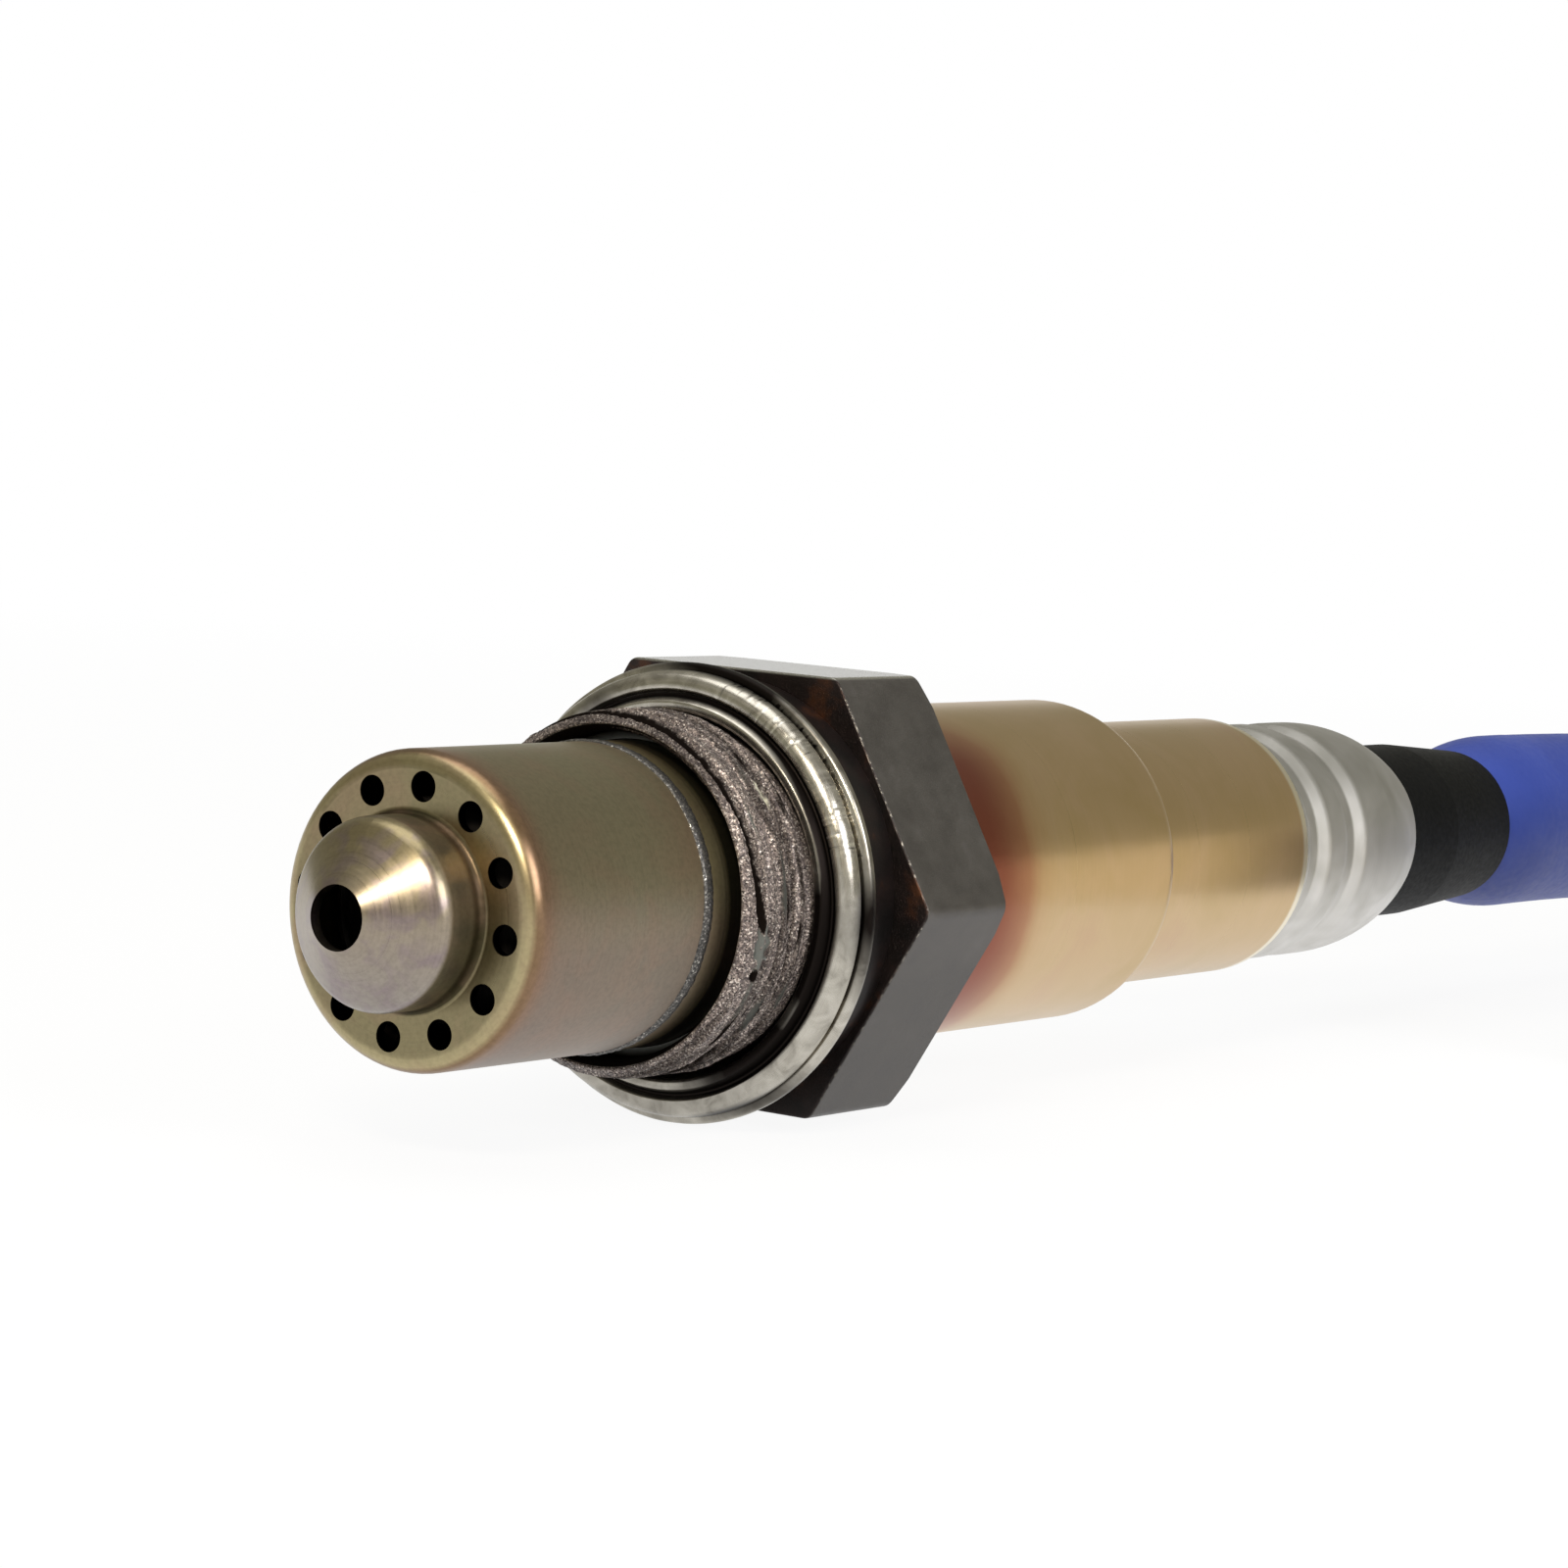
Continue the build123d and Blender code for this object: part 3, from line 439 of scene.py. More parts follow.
# Cracks: a depth in mm, then the angle in degrees, x and half width of each of its places
cracks = [
    (0.9, [(48, -4.1, 0.0), (75, -4.38, 0.18), (100, -4.42, 0.28), (122, -4.42, 0.28),
           (133, -4.38, 0.24), (141, -4.34, 0.22), (146, -4.3, 0.2), (152, -4.27, 0.2),
           (160, -4.25, 0.19), (170, -4.17, 0.2), (179, -3.98, 0.2), (185, -3.86, 0.14),
           (189, -3.8, 0.0)]),
    (0.8, [(197, -3.8, 0.0), (198.2, -3.74, 0.26), (200.2, -3.7, 0.28), (202, -3.66, 0.0)]),
    (0.8, [(211, -3.36, 0.0), (216, -3.42, 0.16), (222, -3.5, 0.12), (230, -3.62, 0.0)]),
    (0.3, [(96, -2.6, 0.0), (131, -2.42, 0.1), (144, -2.5, 0.12), (155, -2.3, 0.1),
           (177, -2.22, 0.12), (190, -2.3, 0.1), (214, -2.2, 0.0)]),
    (0.12, [(110, -1.7, 0.0), (140, -1.75, 0.05), (165, -1.8, 0.06), (188, -1.7, 0.0)]),
    (0.3, [(100, -1.5, 0.0), (132, -1.45, 0.1), (155, -1.27, 0.1), (177, -1.3, 0.12),
           (191, -1.2, 0.1), (222, -0.8, 0.0)]),
    (0.25, [(100, -0.6, 0.0), (138, -0.5, 0.12), (153, -0.52, 0.14), (178, -0.6, 0.16),
            (205, -0.62, 0.12), (222, -0.42, 0.06), (240, -0.3, 0.0)]),
    (0.2, [(190, -1.9, 0.0), (206, -1.7, 0.07), (230, -1.4, 0.0)]),
    (0.6, [(206, -2.6, 0.0), (218, -2.75, 0.12), (240, -2.3, 0.24), (258, -2.1, 0.25),
           (290, -1.8, 0.0)]),
    (0.15, [(205, -4.5, 0.0), (222, -4.72, 0.12), (240, -4.5, 0.3), (270, -4.2, 0.3),
            (300, -4.0, 0.0)]),
    (0.15, [(232, -3.5, 0.0), (246, -3.3, 0.16), (266, -3.2, 0.2), (292, -3.0, 0.0)]),
    (0.3, [(226, -1.2, 0.0), (246, -1.0, 0.22), (270, -0.8, 0.14), (310, -0.7, 0.0)]),
]

# Where the paste is darker between its strips: x, half width along x, how dark
dark_bands = [(-1.85, 0.55, 0.72), (-0.68, 0.32, 0.8)]


def clamp(value):
    """A value kept between 0 and 1."""
    return max(0.0, min(1.0, value))


def band(offset, half, steepness=1.0):
    """1 in the middle of a band and 0 at its edges. A steep one has a flat top."""
    return clamp(steepness * (1 - abs(offset) / half))


def streak(x, angle, width, length, seed):
    """Noise drawn out round the axis: width and length are the size of its marks in mm."""
    around = thread_radius / length
    return noise.noise(Vector((
        x / width + seed, around * math.cos(angle), around * math.sin(angle) + seed)))


def hex_radius(angle):
    """The hexagon's radius at an angle, with its corners rounded."""
    inner_half = hex_half_width - hex_corner_round
    off = abs(angle % (math.pi / 3) - math.pi / 6)
    rounding_starts = math.atan(inner_half * math.tan(math.pi / 6) / hex_half_width)
    if off < rounding_starts:
        return hex_half_width / math.cos(off)
    centre = inner_half / math.cos(math.pi / 6)
    to_corner = math.pi / 6 - off
    beside = centre * math.sin(to_corner)
    return centre * math.cos(to_corner) + math.sqrt(hex_corner_round**2 - beside**2)


def lead_in(x):
    """The radius of the chamfer in front of the thread."""
    return thread_radius - lead_chamfer + (x - thread_front_x)


def thread_surface(x, angle):
    """The bare thread's radius: 60 degree flanks, a flat crest, a lead chamfer and a run-out."""
    phase = ((x - groove_x) / thread_pitch - (angle - math.pi) / (2 * math.pi)) % 1.0
    from_crest = abs(phase - 0.5) * thread_pitch
    flank = thread_radius - max(0.0, from_crest - thread_pitch / 16) / math.tan(math.radians(30))
    bare = max(flank, thread_radius - thread_depth)
    run_out = thread_radius - max(0.0, x - thread_run_out_x) * run_out_slope
    return min(bare, lead_in(x), max(run_out, undercut_radius))


@lru_cache(maxsize=None)
def cracks_at(degrees):
    """The x, half width and depth of each crack that crosses an angle."""
    found = []
    for depth, places in cracks:
        for (start, start_x, start_half), (end, end_x, end_half) in zip(places, places[1:]):
            if start <= degrees < end:
                share = (degrees - start) / (end - start)
                found.append((start_x + share * (end_x - start_x),
                              start_half + share * (end_half - start_half), depth))
    return found


def paste_cut(x, angle):
    """How deep the cracks cut the paste at a point, in mm, and how dark it is there: painted shade
    in the cracks and the darker bands.
    """
    cut = dark = 0.0
    wander = (0.06 * streak(0.0, angle, 1.0, 0.7, 15.2)
              + 0.04 * streak(x, angle, 0.2, 0.25, 2.6))
    for crack_x, half, depth in cracks_at(round(math.degrees(angle), 3)):
        offset = x - crack_x + wander
        reach = half + crack_soft_edge
        full = min(1.0, half / crack_soft_edge) * min(1.0, 0.35 + depth)
        cut = max(cut, depth * band(offset, reach, 3.0))
        # The dark in a crack is painted shade
        dark = max(dark, full * band(offset, reach, 3.5))
    for zone_x, half, strength in dark_bands:
        offset = x - zone_x + 0.35 * streak(0.0, angle, 1.0, 3.0, 4.9)
        patchy = 0.75 + streak(x, angle, 0.16, 1.6, 31.0)
        dark = max(dark, strength * patchy * band(offset, half, 2.5))
    return cut, dark


def from_patch(x, angle, patch):
    """0 in the middle of an oval patch and 1 on its edge."""
    patch_x, patch_angle, half_x, half_angle = patch
    return ((x - patch_x) / half_x)**2 + ((math.degrees(angle) - patch_angle) / half_angle)**2


def paste_surface(x, angle):
    """The paste's radius, its film over the crests, and how bare the steel is at a point."""
    fill = (paste_radius + 0.3 * streak(x, angle, 1.0, 9.0, 3.1)
            + 0.13 * streak(x, angle, 0.3, 4.0, 9.7))
    film = paste_film + 0.1 * streak(x, angle, 0.45, 3.0, 5.3)
    ragged = 1.8 * streak(x, angle, 0.3, 0.6, 7.7)
    bare = max(clamp(3.0 * (1.0 - (from_patch(x, angle, patch) - ragged)))
               for patch in bare_patches)
    return fill, film, bare


def thread_shape(x, angle):
    """A point of the thread with its paste, and its marks for paste, for the painted highlight, and
    for grime and painted shade.
    """
    steel = thread_surface(x, angle)
    fill, film, bared = paste_surface(x, angle)
    cut, dark = paste_cut(x, angle)
    around = 45.0
    grain = 0.05 * noise.noise(Vector((x * 5, around * math.cos(angle), around * math.sin(angle))))
    top = min(max(fill, steel + film), lead_in(x) + 0.08, thread_radius + 0.06)
    paste = clamp((top - steel) / 0.05 + 0.5) * (1 - bared)
    top -= max(cut, bare_depth * bared)
    # Behind the paste the undercut is painted dark: a painted shade under the gasket
    if x > paste_end_x:
        dark = max(dark, clamp((x - paste_end_x) / 0.1))
    smear = max(0.0, min(0.55, 1.5 * streak(x, angle, 1.1, 7.0, 21.0)))
    ragged = streak(x, angle, 0.2, 0.4, 17.0)
    highlight_spot = clamp(1.5 * (1.2 - from_patch(x, angle, highlight_patch) + ragged))
    dark = max(dark, smear) * (1 - bared) * (1 - highlight_spot)
    return x, max(steel, top + grain * (1 - bared) * (1 - highlight_spot)), paste, highlight_spot, dark


def body_shape(x, r, angle, index):
    """Moves a ring's point to the thread, the paste or the hexagon, and marks paste, wear and the
    painted highlight, and grime and painted shade. In the hexagon's rings r is how far the point
    lies inside the hexagon."""
    kind = body_kinds[index]
    paste = wear_and_highlight = grime_and_shade = 0.0
    if kind == "thread":
        return thread_shape(x, angle)
    # The bore is painted near black: a painted shade in the gap round the tube
    if kind == "bore":
        grime_and_shade = 1.0
    elif kind == "nose":
        x += 0.04 * streak(x, angle, 0.25, 1.2, 4.4)
        paste, grime_and_shade = 0.9, 0.25
    elif kind.startswith("hex"):
        outer = hex_radius(angle)
        if kind == "hex_edge":
            scuffed = 1.0 if worn_from < angle < worn_to else 0.3
            wear_and_highlight = scuffed * (0.7 + streak(x, angle, 5.0, 0.6, 8.8))
        if kind == "hex_side":
            trim = max(0.0, outer - hex_trim_radius) * math.tan(hex_trim_slope)
            x = min(x, hex_rear_x - trim)
        r = outer - r
        if kind == "hex_rear":
            r = min(r, hex_trim_radius)
    return x, r, paste, wear_and_highlight, grime_and_shade


body_rings = [("plain", nose_bore_end_x, tube_seat_radius),
              ("bore", nose_bore_end_x, nose_bore_radius), ("bore", -4.2, nose_bore_radius),
              ("bore", -4.86, nose_rim_radius - 0.04), ("nose", -4.93, nose_rim_radius),
              ("nose", -4.98, nose_rim_radius + 0.04)]
thread_rings = 128
thread_last_x = 0.5
for ring in range(thread_rings + 1):
    ring_x = thread_front_x + 0.02 + (thread_last_x - thread_front_x) * ring / thread_rings
    body_rings.append(("thread", ring_x, 0))
body_rings += [("plain", gasket_back_x, undercut_radius),
               ("plain", gasket_back_x, collar_radius - collar_bevel),
               ("plain", gasket_back_x + collar_bevel, collar_radius),
               ("plain", hex_front_x, collar_radius), ("hex_front", hex_front_x, edge_round + 0.05)]
for step in range(5):
    bend = math.pi / 2 * step / 4
    body_rings.append(("hex_edge" if step in (2, 3) else "hex_front",
                       hex_front_x + edge_round * (1 - math.cos(bend)),
                       edge_round * (1 - math.sin(bend))))
body_rings += [("hex_side", hex_front_x + edge_round + 0.1, 0), ("hex_side", hex_rear_x - 0.06, 0),
               ("hex_rear", hex_rear_x, 0.1)]
body_rings += [("plain", x, r) for x, r in (
    (hex_rear_x, spigot_radius + 0.25), (hex_rear_x, spigot_radius),
    (spigot_end_x, spigot_radius), (spigot_end_x, packing_bore_radius),
    (crimp_lip_x[1], packing_bore_radius), (crimp_lip_x[1], crimp_lip_radius),
    (crimp_lip_x[0], crimp_lip_radius), (crimp_lip_x[0], packing_bore_radius),
    (packing_lip_x[1], packing_bore_radius), (packing_lip_x[1], packing_lip_radius),
    (packing_lip_x[0], packing_lip_radius), (packing_lip_x[0], tube_seat_radius))]
body_kinds = [kind for kind, _, _ in body_rings]
threaded_body = lathe("threaded_body", [(x, r) for _, x, r in body_rings], 576, 28,
                      body_shape, ("paste", "wear_and_highlight", "grime_and_shade"))
seat(threaded_body, "body_steel", "sensor_body")

# %% [markdown]
# ## Rings about the axis
# Every drawn or turned piece carries the same two kinds of mark: fine rings that the tool or the
# die left round the axis, and tints that the hot gas left along it. One helper works out the place
# along the axis and the distance from it, in mm, and another makes noise that follows both.

# %% Places along and around the axis
def axis_places(tree):
    """The object coordinates, the place along the axis in mm and the distance from it in mm."""
    place = object_place(tree)
    along = calc(tree, "DIVIDE", add(tree, "SeparateXYZ", {0: place}).outputs["X"], MM)
    across = add(tree, "VectorMath", {"operation": "MULTIPLY", 0: place, 1: (0, 1 / MM, 1 / MM)})
    distance = add(tree, "VectorMath", {"operation": "LENGTH", 0: across.outputs["Vector"]})
    return place, along, distance.outputs["Value"]


def mark(tree, name):
    """A value that a lathe form carries at its points."""
    return add(tree, "Attribute", {"attribute_name": name}).outputs["Fac"]


def turned_rings(tree, along, distance, width):
    """Noise in rings about the axis, whose marks are that wide in mm."""
    rings = add(tree, "CombineXYZ", {0: along, 1: distance})
    return add(tree, "TexNoise", {"Scale": 1 / width, "Detail": 3.0, "Roughness": 0.6,
                                  "Vector": rings.outputs[0]}).outputs["Fac"]


def blotches(tree, place, size, detail=4.0, distortion=0.0, roughness=0.6):
    """Cloudy noise whose marks are about that many mm across."""
    return add(tree, "TexNoise", {"Scale": 1 / (size * MM), "Detail": detail, "Vector": place,
                                  "Roughness": roughness, "Distortion": distortion}).outputs["Fac"]


def fade(tree, value, start, end, low=0.0, high=1.0):
    """A smooth change from low to high while a value goes from start to end."""
    return add(tree, "MapRange", {
        "interpolation_type": "SMOOTHSTEP", "Value": value, "From Min": start, "From Max": end,
        "To Min": low, "To Max": high}).outputs[0]


def relief(tree, shader, height, depth, strength):
    """Bumps of that depth in mm on a shader's surface."""
    bump = add(tree, "Bump", {"Strength": strength, "Distance": depth * MM, "Height": height})
    feed(tree, shader, {"Normal": bump.outputs[0]})


print("helpers for rings, blotches and fades are ready")

# %% [markdown]
# ## The finish of the body
# The hexagon is dark oxidised steel, worn bright along its front edge. Its front face is painted
# darker with brown blotches, for its darker oxide, painted shade and painted reflections. Its upper
# flat is painted lighter, a painted sheen, and is glossier. The paste is grease full of copper and
# graphite flakes, so it is a pinkish grey that sparkles, and a pale patch on it is a painted
# highlight. Grime and painted shade hide both: they are nearly black and give no shine. The shade
# is painted into the cracks, the bore and the undercut behind the paste, and the lower side and the
# top of the thread are darker, a painted shade.

# %% Dark steel with copper paste
flake_size = 0.07
top_flat_z = (0.01085, 0.01096)
body_steel, tree, shader = new_finish("oxidised_steel_with_copper_paste")
place = object_place(tree)
flakes = add(tree, "TexVoronoi", {
    "feature": "F1", "Scale": 1 / (flake_size * MM), "Randomness": 1.0, "Vector": place})
flake_tone = add(tree, "SeparateColor", {0: flakes.outputs["Color"]})
lumps = blotches(tree, place, 1.1, roughness=0.65)
paste_colour = ramp(tree, flake_tone.outputs[0], [
    (0.0, "#332d2b"), (0.3, "#6a605f"), (0.65, "#8d807a"), (0.85, "#b9aaa2"), (1.0, "#fbf1e8")])
paste_shade = mix(tree, 0.8, paste_colour, ramp(tree, lumps, [(0.3, 0.45), (0.7, 1.0)]), "MULTIPLY")
oxide = blotches(tree, place, 2.4, 6.0, roughness=0.7)
oxide_colour = ramp(tree, oxide, [(0.3, "#494644"), (0.6, "#5a5754"), (0.8, "#6a6666")])
_, along, _ = axis_places(tree)
# The front face is painted darker with brown blotches: its darker oxide, painted shade and painted
# reflections
front_shade_and_stain = ramp(tree, blotches(tree, place, 2.2), [
    (0.35, "#1c1918"), (0.58, "#2a211f"), (0.74, "#523321")])
behind_front = fade(tree, along, hex_front_x + 0.03, hex_front_x + 0.1)
oxide_colour = mix(tree, behind_front, front_shade_and_stain, oxide_colour)
wear_and_highlight = mark(tree, "wear_and_highlight")
specks = blotches(tree, place, 0.35, 3.0, roughness=0.7)
worn = calc(tree, "MULTIPLY", wear_and_highlight, ramp(tree, specks, [(0.5, 0.0), (0.62, 1.0)]))
steel_colour = mix(tree, worn, oxide_colour, "#b5afa4")
level = height_of(tree, place)
# The upper flat is painted lighter, a painted sheen, and is given a lower roughness
top_flat_sheen = fade(tree, level, *top_flat_z)
steel_colour = mix(tree, top_flat_sheen, steel_colour, "#8b8a83")

# Where the paste mark is high there is paste, with a ragged edge, and bare thread has its own grey
paste = mark(tree, "paste")
pasted = add(tree, "MapRange", {"From Min": 0.3, "From Max": 0.7}, {"Value": paste}).outputs[0]
grime_and_shade = mark(tree, "grime_and_shade")
patch_steel = mix(tree, fade(tree, along, 0.6, 0.8), "#6c6e69", steel_colour)
body_colour = mix(tree, pasted, patch_steel, paste_shade)
# The pale patch on the thread is a painted highlight
highlight_spot = calc(tree, "MULTIPLY", wear_and_highlight, fade(tree, along, 0.8, 0.6))
body_colour = mix(tree, highlight_spot, body_colour, "#bcbaa8")

# Painted shade: the lower side is darker all over, and so is the top of the thread
low_shade = ramp(tree, fade(tree, level, -0.001, -0.005), [(0.0, 1.0), (1.0, 0.84)])
high_shade = ramp(tree, fade(tree, level, 0.0055, 0.008), [(0.0, 1.0), (1.0, 0.82)])
body_colour = mix(tree, 1.0, body_colour, low_shade, "MULTIPLY")
high_shade = mix(tree, fade(tree, along, 1.0, 0.8), "#ffffff", high_shade)
body_colour = mix(tree, 1.0, body_colour, high_shade, "MULTIPLY")

paste_metal = ramp(tree, flake_tone.outputs[1], [(0.4, 0.3), (0.9, 0.85)])
body_metal = mix(tree, pasted, "#dddddd", paste_metal)
paste_gloss = ramp(tree, flake_tone.outputs[2], [(0.0, 0.28), (1.0, 0.7)])
steel_gloss = ramp(tree, oxide, [(0.3, 0.34), (0.8, 0.5)])
steel_gloss = mix(tree, top_flat_sheen, steel_gloss, "#7c7c7c")
body_gloss = mix(tree, pasted, steel_gloss, paste_gloss)
# Grime and painted shade are near black and give no shine
feed(tree, shader, {
    "Base Color": mix(tree, grime_and_shade, body_colour, "#120e0c"),
    "Metallic": mix(tree, grime_and_shade, body_metal, "#000000"),
    "Specular IOR Level": mix(tree, grime_and_shade, "#bcbcbc", "#1a1a1a"),
    "Roughness": mix(tree, grime_and_shade, body_gloss, "#f2f2f2"),
})
paste_relief = add(tree, "Bump", {
    "Strength": 0.5, "Distance": 0.03 * MM, "Height": flake_tone.outputs[0]})
steel_relief = add(tree, "Bump", {"Strength": 0.25, "Distance": 0.01 * MM, "Height": specks,
                                  "Normal": paste_relief.outputs[0]})
feed(tree, shader, {"Normal": steel_relief.outputs[0]})
threaded_body.data.materials.append(body_steel)
print("body finish:", body_steel.name)

# %% [markdown]
# ## The folded gasket
# The gasket is one strip of thin stainless sheet, rolled into a ring and folded over itself, so
# that it gives when the sensor is tightened. It shows a small bead in front, a deep crease, a wide
# crowned band, a dark slit and the rolled rim of the rear disc. Its section is drawn once and
# turned, like the body. It is loose on the undercut, so it hangs a quarter of a millimetre low.
# Tightening scuffed the band, and grease and dirt stayed in the crease and over the bead on one
# side. The slit and the crease also get painted shade, and the lower side is darker, so each point
# carries a value for dirt and painted shade and one for scuffs, which its finish reads.

# %% Turn the gasket
gasket_front = [(2.0, 8.4), (0.5, 9.05), (0.1, 9.2), (0.1, 9.62), (0.8, 9.95)]
gasket_band = [(0.42, 10.2), (0.44, 10.98), (1.36, 11.14)]
gasket_slit = [(1.4, 10.6), (1.54, 10.6)]
gasket_rim = [(1.6, 11.16), (1.66, 11.5), (2.2, 11.5), (2.2, 8.4)]
gasket_rounds = [0.3, 0.18, 0.18, 0.12, 0.1, 0.72, 0.05, 0.03, 0.03, 0.02, 0.26, 0.2]
bore_top_radius = 9.0
bead_top_radius = 9.75
crease_radius = 9.92
slit_x = 1.47
ring_hangs = Vector((0, 0.13, -0.25)) * MM
scuffed_degrees = (102, 164)


def between(degrees, start, rise, end, fall):
    """1 between two angles, with a slope before and after them. Below 0 means well outside."""
    return min(1.0, (degrees - start) / rise, (end - degrees) / fall)


def gasket_shape(x, r, angle, index):
    """Dents the sheet a little, and marks dirt and painted shade, and where the band is scuffed."""
    dent = 0.015 * streak(x, angle, 2.0, 3.0, 6.1) + 0.006 * streak(x, angle, 0.4, 0.7, 2.2)
    degrees = math.degrees(angle)
    filled = clamp(between(degrees, 105, 45, 255, 30))
    covered = clamp(between(degrees, 160, 22, 262, 30))
    crease = slit = scuff = 0.0
    # Dirt and painted shade darken the crease, and painted shade alone darkens the slit
    if 0.02 < x < 1.1 and r >= bore_top_radius:
        crease = band(r - crease_radius, 0.16 + 0.3 * filled, 1.7)
    if r < bead_top_radius and x < 0.7:
        crease = max(crease, covered * (0.85 + 0.5 * streak(x, angle, 0.5, 1.5, 23.0)))
    if r < 11.05 and x > 1.2:
        slit = band(x - slit_x, 0.14)
    smear = max(0.0, 1.6 * streak(x, angle, 1.6, 5.0, 12.4) - 0.15)
    # The lower side is darker
    smear += 0.22 * clamp(between(degrees, 215, 25, 325, 25))
    if scuffed_degrees[0] < degrees < scuffed_degrees[1] and 10.2 < r < 11.2:
        scuff = max(0.0, noise.noise(Vector((degrees * 1.9, x * 0.7, 3.3))) - 0.12) * 3
        scuff *= 0.5 + noise.noise(Vector((degrees * 0.12, x, 8.1)))
        smear += max(0.0, noise.noise(Vector((degrees * 1.7, x * 2.2, 9.1))) - 0.2) * 1.3
    return x, r + dent - 0.05 * scuff, min(1.0, crease + slit + smear), clamp(1.4 * scuff)


gasket_section = rounded(gasket_front + gasket_band + gasket_slit + gasket_rim, gasket_rounds, 5)
folded_gasket = lathe("folded_gasket", gasket_section, 720, 60, gasket_shape, ("dirt_and_shade", "scuff"))
folded_gasket.data.transform(Matrix.Translation(ring_hangs))
seat(folded_gasket, "gasket_steel", "gasket_ring")

# %% [markdown]
# ## Worn stainless sheet
# Rolled stainless sheet is bright and a little warm in tone. Round marks of the rolling tool cross
# its gloss, scuffs show as brighter and rougher lines, and dirt and painted shade dull it to a
# grey brown.

# %% Finish the gasket
sheet, tree, shader = new_finish("rolled_stainless_sheet_worn")
place, along, distance = axis_places(tree)
rolling = turned_rings(tree, along, distance, 0.12)
dull = blotches(tree, place, 1.3, 5.0, 0.6)
dirt_and_shade = mark(tree, "dirt_and_shade")
scuff = mark(tree, "scuff")
clean = ramp(tree, dull, [(0.3, "#8f8a80"), (0.5, "#b5b0a5"), (0.75, "#cfcabf")])
scuffed = mix(tree, scuff, clean, "#f0ece2")
dirty_and_shaded = mix(tree, ramp(tree, dirt_and_shade, [(0.05, 0.0), (0.75, 1.0)]), scuffed, "#1c1816")
gloss = ramp(tree, rolling, [(0.3, 0.2), (0.7, 0.34)])
gloss = mix(tree, ramp(tree, dirt_and_shade, [(0.1, 0.0), (0.8, 1.0)]), gloss, "#b0b0b0")
feed(tree, shader, {"Base Color": dirty_and_shaded, "Metallic": 1.0,
                    "Roughness": mix(tree, scuff, gloss, "#8a8a8a")})
relief(tree, shader, rolling, 0.006, 0.4)
folded_gasket.data.materials.append(sheet)
print("gasket finish:", sheet.name)

# %% [markdown]
# ## The weld and the hose cuff
# A laser weld joins the outer protection tube to the tube inside it. It runs round the tube as a
# narrow, slightly wavy bead of small frozen ripples. The hose is pushed over the grommet's neck,
# and its end has drawn in there, so it starts narrow and swells to its full size. Both are lathe
# forms.

# %% Lay the weld and push on the hose
tube_radius = 7.53
weld_middle_x = -6.42
weld_half_width = 0.36
weld_height = 0.12
weld_sunk = 0.1
weld_lean = 0.3
weld_lean_angle = math.radians(160)
weld_steps = 6


def weld_shape(x, r, angle, index):
    """Leans the bead a little, as the tube turned out of true, and ripples it."""
    lean = -weld_lean * math.sin(angle - weld_lean_angle) + 0.06 * streak(0, angle, 1.0, 2.5, 4.0)
    ripple = 0.05 * streak(x, angle, 0.2, 0.3, 1.3) if r > tube_radius else 0.0
    return x + lean, r + ripple


weld_section = [(weld_middle_x - weld_half_width, tube_radius - weld_sunk)]
for step in range(weld_steps + 1):
    turned = math.pi * step / weld_steps
    weld_section.append((weld_middle_x - weld_half_width * math.cos(turned),
                         tube_radius - 0.01 + weld_height * math.sin(turned)))
weld_section.append((weld_middle_x + weld_half_width, tube_radius - weld_sunk))
weld_bead = lathe("weld_bead", weld_section, 720, 75, weld_shape)
seat(weld_bead, "tube_steel")

# The cuff's back is an arc that meets the hose smoothly, and small arcs soften its edges
grommet_end_x = 83.6
cuff_length = 6.0
cuff_front_radius = 4.5
cuff_bore_radius = 4.25
cuff_steps = 12
cuff_edge_round = 0.01
swell = hose_radius - cuff_front_radius
cuff_arc = (cuff_length**2 + swell**2) / (2 * swell)
cuff_back = []
for step in range(cuff_steps + 1):
    cuff_x = grommet_end_x + cuff_length * (step / cuff_steps)**1.6
    fall = math.sqrt(cuff_arc**2 - (grommet_end_x + cuff_length - cuff_x)**2)
    cuff_back.append((cuff_x, hose_radius - cuff_arc + fall))
cuff_back.append((neck_end_x, hose_radius))
cuff_section = [(neck_end_x, cuff_bore_radius), (grommet_end_x, cuff_bore_radius)]
cuff_section += rounded(cuff_back, cuff_edge_round, 1)
hose_cuff = lathe("hose_cuff", cuff_section, 96, 50)
seat(hose_cuff, "blue_silicone")

# %% [markdown]
# ## Drawn steel with heat tints
# Both protection tubes and both sleeves are drawn from stainless sheet. Drawing leaves fine rings
# and a satin gloss. The exhaust then tints them: straw and olive where it was warm, a copper red
# where it was hotter. The tint is an oxide film on bare metal, so it goes into the base colour of a
# full metal. Along the outer tube it follows a ramp whose stops are places in mm. Some of these
# stops, a tint by height, a bright ring at the gold sleeve's end and the darker top of the bright
# sleeve are painted light: painted shade, painted highlights and painted reflections.

# %% Finish the protection tubes
tip_x = -24.7
neck_top_x = -21.9
face_x = -19.8
tube_back_x = -4.0
inner_wall_radius = 6.95
